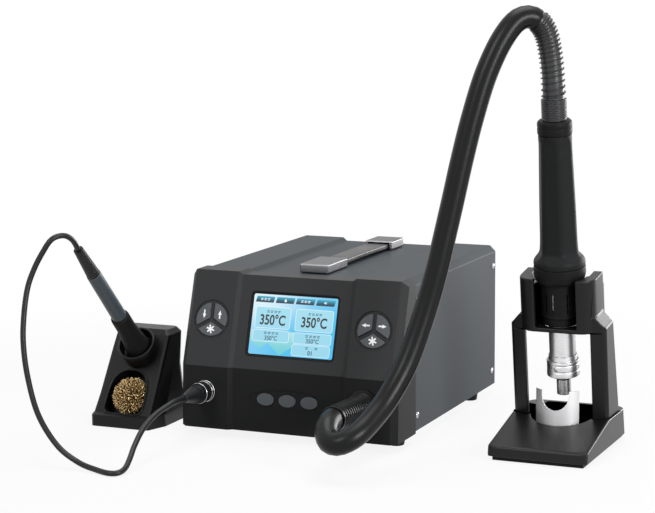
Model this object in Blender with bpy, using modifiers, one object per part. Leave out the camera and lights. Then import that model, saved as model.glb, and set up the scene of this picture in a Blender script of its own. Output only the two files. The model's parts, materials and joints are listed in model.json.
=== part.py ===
import math

import bmesh
import bpy
from mathutils import Euler, Matrix, Vector

# A hot air rework station: the control unit with its handle strap, the hot air handpiece
# in its stand, and the soldering iron in its holder. Metres, +Z up, front towards -Y.
# X is 0 at the middle of the whole layout and Z is 0 on the bench.

# Clearances
FIT = 0.0003
KEY_FIT = 0.0004
SMALLEST = 0.00001
CURVE_STEPS = 16
END_STRETCH = 0.0004
NECK_LENGTH = 0.009

# Control unit, measured from its own centre line and the crease of its front
UNIT_X = -0.0311
UNIT_Y = -0.0844
FOOT_RADIUS = 0.0075
CASE_WIDTH = 0.188
CASE_BOTTOM = 0.007
CREASE_Z = 0.0575
LOWER_LEAN = 0.002
UPPER_LEAN = 0.023
BEZEL_TOP = 0.1324
BEZEL_REAR = 0.042
BEZEL_WALL = 0.0026
WING_STEP = 0.0024
WING_X = 0.048
WING_SLOPE = 0.0034
CHAMFER = 0.005
SHELL_SIDE = CASE_WIDTH / 2 - 0.001
SHELL_TOP = 0.1312
SHELL_SHEET = 0.0012
SHELL_BOTTOM = 0.0081
SHELL_REAR = 0.2409
TRAY_FLANGE = 0.013
REAR_INSET = 0.003
REAR_SHEET = 0.0015
FRONT_FOOT_Y = 0.030
REAR_FOOT_Y = 0.205
FOOT_X = CASE_WIDTH / 2 - 0.012

# Screen and keys
SCREEN_W = 0.0732
SCREEN_H = 0.0486
SCREEN_FRAME = 0.0014
SCREEN_DROP = 0.0016
SCREEN_STEP = 0.0010
GLASS_THICK = 0.003
GLASS_MARGIN = 0.003
CLUSTER_X = CASE_WIDTH / 2 - 0.0235
CLUSTER_DROP = 0.001
CLUSTER_RECESS = 0.016
SECTOR_RADIUS = 0.0136
SECTOR_RIB = 0.0036
SECTOR_TURNS = (150.0, 30.0, 270.0)
SECTOR_NAMES = {
    -1: ("left_down_key", "left_up_key", "left_star_key"),
    1: ("right_back_key", "right_next_key", "right_star_key"),
}
KEY_PROUD = 0.0002
KEY_FLANGE = 0.0008
KEY_TRAVEL = 0.0008
STEM_RADIUS = 0.0016
STEM_LENGTH = 0.0034
SWITCH_RADIUS = 0.003
SWITCH_HEIGHT = 0.0018
BOARD_THICK = 0.0016
PRESET_PITCH = 0.019
PRESET_Z = 0.0341
PRESET_W = 0.0149
PRESET_H = 0.0099
PRESET_RECESS_W = 0.067
PRESET_RECESS_H = 0.0174
PRESET_DROP = 0.0008
GLASS_POST_X = 0.030
GLASS_POST_Y = 0.018
DISPLAY_BOARD_W = CASE_WIDTH - 0.022
DISPLAY_BOARD_H = 0.050
PRESET_BOARD_W = 0.062
PRESET_BOARD_H = 0.016
BOARD_LINK_W = 0.012
BOARD_LINK_Y = 0.0129
BOARD_LINK_DEEP = 0.0045
BOARD_LINK_LOW = 0.038
BOARD_LINK_HIGH = 0.0695

# Handle strap on the cover
STRAP_W = 0.019
STRAP_THICK = 0.0042
STRAP_BOW = 0.0012
CAP_W = 0.025
CAP_HEIGHT = 0.0077
CAP_ROOF = 0.0014
FRONT_CAP_Y = 0.056
FRONT_CAP_LENGTH = 0.042
REAR_CAP_Y = 0.197
REAR_CAP_LENGTH = 0.029
CAP_END_WALL = 0.005
CAP_EDGE = 0.0009

# Iron connector on the front
SOCKET_X = 0.023 - CASE_WIDTH / 2
SOCKET_Z = 0.0373
SOCKET_RADIUS = 0.0068
SOCKET_RIM = 0.0085
SOCKET_FLANGE = 0.0018
SOCKET_NOSE = 0.006
SOCKET_BODY = 0.016
PLUG_RADIUS = 0.0048
PLUG_LENGTH = 0.024
RING_LENGTH = 0.0125
RING_RADIUS = 0.0082
BOOT_RADIUS = 0.0072
BOOT_LENGTH = 0.023
CABLE_DIAMETER = 0.0044

# Hose outlet on the front and the blower behind it
OUTLET_X = CASE_WIDTH / 2 - 0.027
OUTLET_Z = 0.037
HOSE_DIAMETER = 0.0175
GUARD_RADIUS = 0.0100
GUARD_RIBS = 15
GUARD_GROOVE = 0.0006
GUARD_LENGTH = 0.062
GUARD_COLLAR = 0.0124
GUARD_COLLAR_LENGTH = 0.003
GUARD_BORE = 0.0068
GUARD_NUT = 0.0140
GUARD_NUT_LENGTH = 0.004
BLOWER_Y = 0.106
SCROLL_RADIUS = 0.040
SCROLL_WALL = 0.0025
SCROLL_DEPTH = 0.030
SPOUT_RADIUS = 0.0095
INLET_RADIUS = 0.019
SKIRT_RADIUS = 0.022
SKIRT_WALL = 0.0022
MOTOR_RADIUS = 0.016
SHAFT_RADIUS = 0.0018
HUB_RADIUS = 0.0075
IMPELLER_RADIUS = 0.031
BLADE_COUNT = 10
BLADE_THICK = 0.0012
BLADE_HEIGHT = 0.014
DISC_THICK = 0.0016

# Transformer, power board and the rear fittings
CORE_W = 0.062
CORE_DEPTH = 0.036
CORE_HEIGHT = 0.052
CORE_LEG = 0.0115
CORE_X = -0.052
CORE_Y = 0.170
COIL_MARGIN = 0.009
BOARD_W = 0.070
BOARD_LENGTH = 0.062
BOARD_X = -0.050
BOARD_Y = 0.095
BOARD_Z = 0.016
STANDOFF_RADIUS = 0.003
INLET_X = 0.058
INLET_Z = 0.042
INLET_W = 0.027
INLET_H = 0.0195
INLET_DEPTH = 0.022
INLET_RIM = 0.0024
SWITCH_X = 0.016
SWITCH_W = 0.013
SWITCH_H = 0.0192
SWITCH_WALL = 0.0012
SWITCH_DEPTH = 0.016
ROCKER_TILT = 8.0
VENT_COUNT = 9
VENT_PITCH = 0.0065
VENT_WIDTH = 0.003
VENT_LENGTH = 0.034
VENT_X = -0.045
VENT_Z = 0.087

# Handpiece: distances along its own axis from the nozzle's mouth
HAND_X = 0.2045
HAND_Y = 0.0805
HAND_Z = 0.0415
HAND_LEAN = 8.83
NOZZLE_RADIUS = 0.0056
NOZZLE_WALL = 0.0006
NOZZLE_LENGTH = 0.0125
NOZZLE_SLEEVE = 0.017
CLAMP_LENGTH = 0.0130
CLAMP_WALL = 0.0013
TUBE_RADIUS = 0.0103
TUBE_WALL = 0.0006
TUBE_END = 0.084
ELEMENT_START = 0.026
ELEMENT_BORE = 0.0025
SLEEVE_RADIUS = 0.015
SLEEVE_WALL = 0.0015
SLEEVE_START = 0.0592
SLEEVE_END = 0.0985
SLEEVE_LIP = 0.0025
SLEEVE_FOOT = 0.0063
SLEEVE_FOOT_STEP = 0.0008
SLOT_COUNT = 12
SLOT_WIDTH = 0.0022
SLOT_LENGTH = 0.0150
SLOT_START = 0.0705
COLLAR_RADIUS = 0.0201
COLLAR_START = 0.093
COLLAR_END = 0.106
GRIP_END = 0.210
GRIP_RADIUS = 0.0140
GRIP_WALL = 0.0026
GRIP_FLARE = 0.0193
REAR_RING_RADIUS = 0.0134
REAR_RING_LENGTH = 0.011
SPRING_CUP_RADIUS = 0.0098
SPRING_CUP_LENGTH = 0.016
SPRING_RADIUS = 0.0085
SPRING_WIRE = 0.0009
SPRING_TURNS = 15
SPRING_STEPS = 6
CORE_HOSE_RADIUS = 0.0062

# Handpiece stand: the frame's sizes run along and across the handpiece's own axis
STAND_HALF_W = 0.0385
STAND_SIDE_WALL = 0.003
LEG_INNER = 0.0262
LEG_FRONT = 0.013
LEG_ROUND = 0.002
LEG_EDGE = 0.0085
LEG_REAR_LOW = 0.0205
LEG_REAR_TOP = 0.011
LEG_TOP = 0.0585
STAND_FOOT = 0.023
SHOULDER_TOP = 0.068
SHOULDER_END = 0.060
CUP_HALF_W = 0.0305
CUP_FRONT = 0.0169
CUP_REAR = 0.025
CUP_CORNER = 0.012
CUP_REAR_CORNER = 0.011
CUP_PLAY = 0.0012
CUP_FLOOR = 0.0035
CUP_FLOOR_AT = SLEEVE_START - FIT - CUP_FLOOR
CUP_TOP = 0.0982
CUP_SLOT = 0.0165
CUP_BACK_TOP = 0.088
EAR_INNER = 0.023
EAR_END = 0.014
BASE_HALF_W = 0.0397
BASE_FRONT = 0.008
BASE_LIP = 0.012
RAMP_TOP_Y = 0.070
RAMP_TOP_Z = 0.0254
BASE_REAR_TOP = 0.1215
BASE_REAR = 0.127
BASE_ROUND = 0.010
FOOT_PLATE = 0.003
FOOT_PLATE_INSET = 0.0035
WELL_RADIUS = 0.0255
WELL_Y = 0.0785
WELL_FLOOR = 0.0065
SHIELD_RADIUS = 0.021
SHIELD_Y = 0.0745
SHIELD_HALF_W = 0.0175
SHIELD_SHEET = 0.001
SHIELD_TOP = 0.048
SHIELD_NOTCH = 0.011
SHIELD_NOTCH_Z = 0.0445
SHIELD_NOTCH_BOTTOM = 0.0325

# Iron holder and iron
HOLDER_X = -0.1495
HOLDER_FACE = [
    # z, front y, rear y, half width in front, half width behind, rear corner
    (0.0, -0.0035, 0.068, 0.0270, 0.0325, 0.008),
    (0.0095, -0.0035, 0.068, 0.0270, 0.0315, 0.008),
    (0.0110, 0.0005, 0.068, 0.0268, 0.0310, 0.009),
    (0.0250, 0.0104, 0.068, 0.0262, 0.0285, 0.013),
    (0.0450, 0.0229, 0.068, 0.0258, 0.0262, 0.013),
    (0.0600, 0.0323, 0.067, 0.0255, 0.0257, 0.009),
    (0.0715, 0.0395, 0.066, 0.0250, 0.0250, 0.005),
    (0.0755, 0.0440, 0.063, 0.0215, 0.0215, 0.004),
]
SLOPE_ROWS = (2, 5)
FLARE_Y = 0.020
POCKET_Z = 0.0275
POCKET_HALF_W = 0.0178
POCKET_HALF_H = 0.0197
POCKET_CORNER = 0.006
WOOL_RADIUS = 0.0162
WOOL_DEPTH = 0.0105
WOOL_SINK = 0.004
WOOL_DROP = 0.0022
IRON_X = -0.147
IRON_FACE_Y = 0.0370
IRON_FACE_Z = 0.0524
IRON_LEAN = 44.7
FUNNEL_RADIUS = 0.0138
FUNNEL_WALL = 0.0022
FUNNEL_LIP = 0.0150
FUNNEL_OUT = 0.0205
FUNNEL_FOOT = 0.0025
TIP_PLAY = 0.002
TIP_BORE_DEPTH = 0.033
IRON_START = 0.008
IRON_GRIP_RADIUS = 0.0079
IRON_GRIP_END = 0.0585
IRON_SLEEVE_RADIUS = 0.0062
IRON_SLEEVE_END = 0.116
IRON_BOOT_RADIUS = 0.0055
IRON_BOOT_TIP = 0.0040
IRON_BOOT_END = 0.1515
BOOT_RIBS = 8
TIP_RADIUS = 0.0032
TIP_LENGTH = 0.030

# Routes of the hose and the cable, chosen by eye, from the unit's own origin
HOSE_ROUTE = [
    (0.0670, -0.0680, 0.0396), (0.0679, -0.0752, 0.0374), (0.0707, -0.0835, 0.0330),
    (0.0760, -0.0905, 0.0292), (0.0835, -0.0935, 0.0287), (0.0910, -0.0915, 0.0315),
    (0.0970, -0.0850, 0.0360), (0.1025, -0.0730, 0.0440), (0.1087, -0.0585, 0.0563),
    (0.1160, -0.0450, 0.0750), (0.1210, -0.0370, 0.0917), (0.1255, -0.0305, 0.1100),
    (0.1297, -0.0253, 0.1283), (0.1345, -0.0208, 0.1507), (0.1387, -0.0168, 0.1731),
    (0.1441, -0.0117, 0.2030), (0.1493, -0.0068, 0.2327), (0.1551, -0.0013, 0.2623),
    (0.1621, 0.0054, 0.2919), (0.1695, 0.0123, 0.3139), (0.1762, 0.0187, 0.3280),
    (0.1818, 0.0242, 0.3355), (0.1872, 0.0292, 0.3380), (0.1923, 0.0332, 0.3366),
]
SPRING_ROUTE = [
    (0.1972, 0.0370, 0.3310), (0.2005, 0.0395, 0.3222), (0.2024, 0.0410, 0.3111),
    (0.2035, 0.0418, 0.3017), (0.2041, 0.0423, 0.2942),
]
CABLE_ROUTE = [
    (-0.1471, -0.0758, 0.1665), (-0.1500, -0.0842, 0.1708), (-0.1556, -0.0922, 0.1686),
    (-0.1612, -0.0966, 0.1590), (-0.1665, -0.1010, 0.1465), (-0.1699, -0.1060, 0.1320),
    (-0.1701, -0.1120, 0.1126), (-0.1678, -0.1180, 0.0910), (-0.1610, -0.1240, 0.0660),
    (-0.1491, -0.1295, 0.0385), (-0.1310, -0.1330, 0.0170), (-0.1120, -0.1345, 0.0060),
    (-0.0940, -0.1390, 0.0030), (-0.0810, -0.1430, 0.0026), (-0.0745, -0.1395, 0.0028),
    (-0.0735, -0.1310, 0.0045), (-0.0760, -0.1190, 0.0090), (-0.0790, -0.1060, 0.0155),
    (-0.0800, -0.0900, 0.0250), (-0.0775, -0.0740, 0.0330), (-0.0735, -0.0610, 0.0375),
    (-0.0716, -0.0525, 0.0391),
]

scene = bpy.context.scene
for old in list(bpy.data.objects):
    bpy.data.objects.remove(old, do_unlink=True)
parts = bpy.data.collections.new("hot_air_rework_station")
scene.collection.children.link(parts)
cutters = bpy.data.collections.new("cutters")
cutters.hide_render = True
scene.collection.children.link(cutters)


def material(name, colour, roughness, metallic=0.0):
    made = bpy.data.materials.new(name)
    made.use_nodes = True
    shader = made.node_tree.nodes["Principled BSDF"]
    shader.inputs["Base Color"].default_value = (*colour, 1.0)
    shader.inputs["Roughness"].default_value = roughness
    shader.inputs["Metallic"].default_value = metallic
    made.diffuse_color = (*colour, 1.0)
    return made


front_plastic = material("front_plastic", (0.035, 0.036, 0.038), 0.5)
cover_paint = material("cover_paint", (0.115, 0.135, 0.150), 0.45, 0.2)
zinc_steel = material("zinc_steel", (0.55, 0.56, 0.58), 0.35, 1.0)
rear_paint = material("rear_paint", (0.10, 0.11, 0.12), 0.5, 0.2)
screen_glass = material("screen_glass", (0.55, 0.78, 0.90), 0.15)
board_green = material("board_green", (0.02, 0.16, 0.07), 0.5)
key_grey = material("key_grey", (0.09, 0.10, 0.11), 0.5)
strap_rubber = material("strap_rubber", (0.02, 0.02, 0.022), 0.6)
bright_chrome = material("bright_chrome", (0.75, 0.76, 0.78), 0.12, 1.0)
foot_rubber = material("foot_rubber", (0.02, 0.02, 0.02), 0.8)
white_plastic = material("white_plastic", (0.75, 0.75, 0.72), 0.5)
motor_steel = material("motor_steel", (0.45, 0.45, 0.46), 0.4, 1.0)
core_steel = material("core_steel", (0.25, 0.25, 0.27), 0.5, 1.0)
coil_tape = material("coil_tape", (0.60, 0.42, 0.06), 0.5)
black_plastic = material("black_plastic", (0.018, 0.018, 0.019), 0.42)
hose_rubber = material("hose_rubber", (0.022, 0.022, 0.023), 0.45)
tube_steel = material("tube_steel", (0.62, 0.62, 0.63), 0.25, 1.0)
ceramic = material("ceramic", (0.80, 0.78, 0.72), 0.7)
spring_steel = material("spring_steel", (0.03, 0.03, 0.032), 0.4, 0.6)
shield_steel = material("shield_steel", (0.78, 0.78, 0.78), 0.4, 0.3)
stand_plastic = material("stand_plastic", (0.020, 0.020, 0.021), 0.45)
brass_wire = material("brass_wire", (0.62, 0.45, 0.16), 0.35, 1.0)
sleeve_blue = material("sleeve_blue", (0.10, 0.125, 0.145), 0.5)
iron_rubber = material("iron_rubber", (0.018, 0.018, 0.018), 0.7)


def frame(name, location, lean_degrees, parent):
    """An empty whose Z runs up at lean 0 and tips towards the front as the lean grows."""
    made = bpy.data.objects.new(name, None)
    made.empty_display_size = 0.01
    made.location = location
    made.rotation_euler = Euler((math.radians(lean_degrees), 0.0, 0.0))
    made.parent = parent
    parts.objects.link(made)
    return made


def show(obj, finish, parent, location=(0.0, 0.0, 0.0), rotation=(0.0, 0.0, 0.0)):
    obj.data.materials.append(finish)
    obj.parent = parent
    obj.location = location
    obj.rotation_euler = Euler([math.radians(a) for a in rotation])
    parts.objects.link(obj)
    return obj


def hide(obj, parent, location=(0.0, 0.0, 0.0), rotation=(0.0, 0.0, 0.0)):
    obj.parent = parent
    obj.location = location
    obj.rotation_euler = Euler([math.radians(a) for a in rotation])
    obj.display_type = "WIRE"
    cutters.objects.link(obj)
    return obj


def from_bmesh(name, shape):
    bmesh.ops.recalc_face_normals(shape, faces=shape.faces)
    mesh = bpy.data.meshes.new(name)
    shape.to_mesh(mesh)
    shape.free()
    return bpy.data.objects.new(name, mesh)


def add_box(shape, low, high):
    size = [h - l for l, h in zip(low, high)]
    centre = [(h + l) / 2 for l, h in zip(low, high)]
    matrix = Matrix.Translation(centre) @ Matrix.Diagonal((*size, 1.0))
    bmesh.ops.create_cube(shape, size=1.0, matrix=matrix)


def boxes(name, corners):
    shape = bmesh.new()
    for low, high in corners:
        add_box(shape, low, high)
    return from_bmesh(name, shape)


def add_cylinder(shape, radius, low, high, at=(0.0, 0.0), steps=20, top_radius=None):
    matrix = Matrix.Translation((at[0], at[1], (low + high) / 2))
    bmesh.ops.create_cone(
        shape, cap_ends=True, segments=steps, radius1=radius,
        radius2=radius if top_radius is None else top_radius,
        depth=high - low, matrix=matrix,
    )


def cylinder(name, radius, low, high, at=(0.0, 0.0), steps=20):
    shape = bmesh.new()
    add_cylinder(shape, radius, low, high, at, steps)
    return from_bmesh(name, shape)


def add_prism(shape, outline, low, high):
    face = shape.faces.new([shape.verts.new((x, y, low)) for x, y in outline])
    grown = bmesh.ops.extrude_face_region(shape, geom=[face])
    moved = [v for v in grown["geom"] if isinstance(v, bmesh.types.BMVert)]
    bmesh.ops.translate(shape, verts=moved, vec=(0.0, 0.0, high - low))


def prism(name, outline, low, high):
    shape = bmesh.new()
    add_prism(shape, outline, low, high)
    return from_bmesh(name, shape)


def loft(name, rings):
    """One closed skin over rings of equal length, with a flat cap at each end."""
    shape = bmesh.new()
    loops = [[shape.verts.new(point) for point in ring] for ring in rings]
    for low, high in zip(loops, loops[1:]):
        for i in range(len(low)):
            j = (i + 1) % len(low)
            shape.faces.new((low[i], low[j], high[j], high[i]))
    shape.faces.new(loops[0])
    shape.faces.new(loops[-1])
    return from_bmesh(name, shape)


def lathe(name, profile, steps=24, closed=False):
    """Turns (radius, height) points round Z; an open profile starts and ends on the axis."""
    shape = bmesh.new()
    points = [shape.verts.new((r, 0.0, z)) for r, z in profile]
    for a, b in zip(points, points[1:]):
        shape.edges.new((a, b))
    if closed:
        shape.edges.new((points[-1], points[0]))
    mesh = bpy.data.meshes.new(name)
    shape.to_mesh(mesh)
    shape.free()
    obj = bpy.data.objects.new(name, mesh)
    turn = obj.modifiers.new("turn", "SCREW")
    turn.steps = steps
    turn.render_steps = steps
    turn.use_merge_vertices = True
    turn.merge_threshold = SMALLEST
    return obj


def combine(obj, other, operation):
    change = obj.modifiers.new(operation.lower(), "BOOLEAN")
    change.operation = operation
    change.solver = "EXACT"
    change.object = other
    return obj


def cut(obj, *tools):
    for tool in tools:
        combine(obj, tool, "DIFFERENCE")
    return obj


def bevel(obj, width, segments=1, degrees=40.0):
    edge = obj.modifiers.new("bevel", "BEVEL")
    edge.width = width
    edge.segments = segments
    edge.limit_method = "ANGLE"
    edge.angle_limit = math.radians(degrees)
    return obj


def tub(half_w, front, rear, front_corner, rear_corner, steps=4):
    """A plan outline, anticlockwise, with its own corner radius in front and behind."""
    points = []
    for quarter in range(4):
        corner = rear_corner if quarter < 2 else front_corner
        centre_x = (half_w - corner) * (1 if quarter in (0, 3) else -1)
        centre_y = rear - corner if quarter < 2 else front + corner
        for step in range(steps + 1):
            turn = math.pi / 2 * (quarter + step / steps)
            points.append((
                centre_x + corner * math.cos(turn), centre_y + corner * math.sin(turn),
            ))
    return points


def rounded(half_w, half_h, corner, steps=3):
    return tub(half_w, -half_h, half_h, corner, corner, steps)


def ellipse(half_w, half_h, centre=(0.0, 0.0), steps=24):
    turns = [2 * math.pi * i / steps for i in range(steps)]
    return [(centre[0] + half_w * math.cos(t), centre[1] + half_h * math.sin(t)) for t in turns]


def offset_line(points, distance):
    """Moves an open (y, z) line sideways, to its right for a positive distance."""
    sides = []
    for a, b in zip(points, points[1:]):
        run = (Vector(b) - Vector(a)).normalized()
        sides.append(Vector((run.y, -run.x)))
    moved = [Vector(points[0]) + sides[0] * distance]
    for i in range(1, len(points) - 1):
        mitre = sides[i - 1] + sides[i]
        moved.append(Vector(points[i]) + mitre * (2 * distance / mitre.length_squared))
    moved.append(Vector(points[-1]) + sides[-1] * distance)
    return [tuple(p) for p in moved]


def fine_curve(points):
    """A smooth curve through the given points, as a dense line of points."""
    route = [Vector(p) for p in points]
    route = [2 * route[0] - route[1], *route, 2 * route[-1] - route[-2]]
    fine = []
    for a, b, c, d in zip(route, route[1:], route[2:], route[3:]):
        for step in range(CURVE_STEPS):
            t = step / CURVE_STEPS
            fine.append(0.5 * (
                2 * b + (c - a) * t + (2 * a - 5 * b + 4 * c - d) * t * t
                + (3 * b - a - 3 * c + d) * t * t * t
            ))
    fine.append(route[-2])
    return fine


def run_lengths(line):
    lengths = [0.0]
    for a, b in zip(line, line[1:]):
        lengths.append(lengths[-1] + (b - a).length)
    return lengths


def point_at(line, lengths, target):
    i = 0
    while i < len(line) - 2 and lengths[i + 1] < target:
        i += 1
    share = (target - lengths[i]) / max(lengths[i + 1] - lengths[i], SMALLEST)
    return line[i].lerp(line[i + 1], max(0.0, min(1.0, share)))


def spaced(line, start, end, spacing):
    """Evenly spaced points of a dense line, with a short square stretch at both ends."""
    lengths = run_lengths(line)
    count = max(2, round((end - start - 2 * END_STRETCH) / spacing))
    inner = [
        start + END_STRETCH + (end - start - 2 * END_STRETCH) * k / count
        for k in range(count + 1)
    ]
    return [point_at(line, lengths, target) for target in [start, *inner, end]]


def tube_along(name, points, radius, resolution, finish, parent):
    curve = bpy.data.curves.new(name, "CURVE")
    curve.dimensions = "3D"
    curve.bevel_depth = radius
    curve.bevel_resolution = resolution
    curve.use_fill_caps = True
    spline = curve.splines.new("POLY")
    spline.points.add(len(points) - 1)
    for slot, point in zip(spline.points, points):
        slot.co = (*point, 1.0)
    curve.materials.append(finish)
    obj = bpy.data.objects.new(name, curve)
    obj.parent = parent
    parts.objects.link(obj)
    return obj


# Frames that carry the pieces
unit = frame("unit_place", (UNIT_X, UNIT_Y, 0.0), 0.0, None)
lower_lean = math.atan2(LOWER_LEAN, CREASE_Z - CASE_BOTTOM)
upper_lean = math.atan2(UPPER_LEAN, BEZEL_TOP - CREASE_Z)
lower_mid_z = (CASE_BOTTOM + CREASE_Z) / 2
upper_mid_z = (CREASE_Z + BEZEL_TOP) / 2
lower_face = frame(
    "lower_face", (0.0, -LOWER_LEAN / 2, lower_mid_z), 90.0 - math.degrees(lower_lean), unit
)
upper_face = frame(
    "upper_face", (0.0, UPPER_LEAN / 2, upper_mid_z), 90.0 - math.degrees(upper_lean), unit
)
hand_axis = frame("handpiece_axis", (HAND_X, HAND_Y, HAND_Z), HAND_LEAN, unit)
iron_axis = frame("iron_axis", (IRON_X, IRON_FACE_Y, IRON_FACE_Z), IRON_LEAN, unit)


def on_lower(z):
    """Height on the lower facet's own plane of a world height z."""
    return (z - lower_mid_z) / math.cos(lower_lean)


def on_upper(z):
    return (z - upper_mid_z) / math.cos(upper_lean)


def along(axis_frame, distance):
    """A point at this distance along a leaning frame's Z, from the unit's own origin."""
    lean = axis_frame.rotation_euler.x
    return Vector(axis_frame.location) + Vector((0.0, -math.sin(lean), math.cos(lean))) * distance


# Front housing
front_line = [
    (-LOWER_LEAN, CASE_BOTTOM), (0.0, CREASE_Z), (UPPER_LEAN, BEZEL_TOP), (BEZEL_REAR, BEZEL_TOP),
]
half_case = CASE_WIDTH / 2
full_wall = WING_STEP + BEZEL_WALL
cluster_wall = full_wall - CLUSTER_DROP
preset_wall = BEZEL_WALL - PRESET_DROP


def wedge(name, line, rear, bottom, half_w, chamfer):
    """The front housing's block: its front line across X, chamfered at both sides."""
    full = [*line, (rear, line[-1][1]), (rear, bottom)]
    slim = [
        (line[0][0] + chamfer, line[0][1]), (line[1][0] + chamfer, line[1][1]),
        (line[2][0] + chamfer, line[2][1] - chamfer), (line[3][0], line[3][1] - chamfer),
        (rear, line[3][1] - chamfer), (rear, bottom),
    ]
    sides = [(-half_w, slim), (chamfer - half_w, full), (half_w - chamfer, full), (half_w, slim)]
    return loft(name, [[(x, y, z) for y, z in ring] for x, ring in sides])


def build_front():
    line = [*front_line[:3], (BEZEL_REAR - CHAMFER, BEZEL_TOP)]
    body = wedge("front_bezel", line, BEZEL_REAR, CASE_BOTTOM, half_case, CHAMFER)
    inner = offset_line(front_line, full_wall)
    inner[0] = (inner[0][0], CASE_BOTTOM + full_wall)
    inner[3] = (BEZEL_REAR, inner[3][1])
    hollow = wedge(
        "front_hollow", inner, BEZEL_REAR + CHAMFER, inner[0][1],
        half_case - BEZEL_WALL, CHAMFER,
    )
    long_line = [
        (front_line[0][0], front_line[0][1] - CHAMFER), *front_line[1:3],
        (BEZEL_REAR + CHAMFER, BEZEL_TOP),
    ]
    over = 0.2
    rings = []
    for x, depth in (
        (-WING_X - WING_SLOPE * (1 + over), -over * WING_STEP), (-WING_X, WING_STEP),
        (WING_X, WING_STEP), (WING_X + WING_SLOPE * (1 + over), -over * WING_STEP),
    ):
        outside = offset_line(long_line, -CHAMFER)
        inside = offset_line(long_line, depth)
        rings.append([(x, y, z) for y, z in [*outside, *reversed(inside)]])
    hide(hollow, unit)
    step = hide(loft("wing_step_cut", rings), unit)
    screen = bmesh.new()
    screen_rim = (SCREEN_W / 2 + SCREEN_FRAME, SCREEN_H / 2 + SCREEN_FRAME)
    add_prism(
        screen, rounded(*screen_rim, 0.003), -WING_STEP - SCREEN_STEP, WING_STEP,
    )
    recess = hide(from_bmesh("screen_recess_cut", screen), upper_face, (0.0, -SCREEN_DROP, 0.0))
    window = hide(
        prism(
            "screen_window_cut", rounded(SCREEN_W / 2, SCREEN_H / 2, 0.0015),
            -2 * full_wall, 0.0,
        ),
        upper_face, (0.0, -SCREEN_DROP, 0.0),
    )
    show(body, front_plastic, unit)
    cut(body, step, hollow, recess, window)
    for side in (-1, 1):
        place = (side * CLUSTER_X, -CLUSTER_DROP, 0.0)
        dish = cylinder("cluster_dish_cut", CLUSTER_RECESS, -CLUSTER_DROP, full_wall, steps=28)
        holes = bmesh.new()
        for turn in SECTOR_TURNS:
            outline = sector(turn, SECTOR_RADIUS + KEY_FIT, SECTOR_RIB / 2 - KEY_FIT)
            add_prism(holes, outline, -2 * full_wall, 0.0)
        cut(body, hide(dish, upper_face, place))
        cut(body, hide(from_bmesh("cluster_holes_cut", holes), upper_face, place))
    lower = bmesh.new()
    add_prism(
        lower, ellipse(PRESET_RECESS_W / 2, PRESET_RECESS_H / 2, steps=28),
        -WING_STEP - PRESET_DROP, WING_STEP,
    )
    cut(body, hide(from_bmesh("preset_recess_cut", lower), lower_face, (0, on_lower(PRESET_Z), 0)))
    slots = bmesh.new()
    for k in (-1, 0, 1):
        outline = ellipse(
            PRESET_W / 2 + KEY_FIT, PRESET_H / 2 + KEY_FIT, (k * PRESET_PITCH, 0.0), 16
        )
        add_prism(slots, outline, -2 * full_wall, 0.0)
    cut(body, hide(from_bmesh("preset_holes_cut", slots), lower_face, (0, on_lower(PRESET_Z), 0)))
    bores = bmesh.new()
    add_cylinder(
        bores, SOCKET_RADIUS + FIT, -3 * full_wall, full_wall, (SOCKET_X, on_lower(SOCKET_Z))
    )
    add_cylinder(
        bores, GUARD_RADIUS + FIT, -3 * full_wall, full_wall, (OUTLET_X, on_lower(OUTLET_Z))
    )
    cut(body, hide(from_bmesh("panel_bores_cut", bores), lower_face))


# Sector keys: three in a ring on each wing, two above and one below
def sector(turn_degrees, radius, half_rib, steps=6):
    """A third of a disc less half a rib along each straight side, as an outline."""
    start = math.radians(turn_degrees - 60.0)
    end = math.radians(turn_degrees + 60.0)
    middle = math.radians(turn_degrees)
    tip = half_rib / math.sin(math.radians(60.0))
    lean = math.asin(half_rib / radius)
    arc = [start + lean + (end - start - 2 * lean) * i / steps for i in range(steps + 1)]
    points = [(radius * math.cos(a), radius * math.sin(a)) for a in arc]
    return [(tip * math.cos(middle), tip * math.sin(middle)), *points]


def key_solid(name, outline, flange_outline, top, back, stem_at):
    """A key: its cap through the panel, its flange behind the panel, and its stem."""
    shape = bmesh.new()
    add_prism(shape, outline, back - KEY_FLANGE / 2, top)
    obj = from_bmesh(name, shape)
    flange = prism(name + "_flange", flange_outline, back - FIT - KEY_FLANGE, back - FIT)
    stem = cylinder(
        name + "_stem", STEM_RADIUS, back - FIT - KEY_FLANGE - STEM_LENGTH,
        back - FIT - KEY_FLANGE / 2, stem_at, 8,
    )
    return obj, flange, stem


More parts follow.
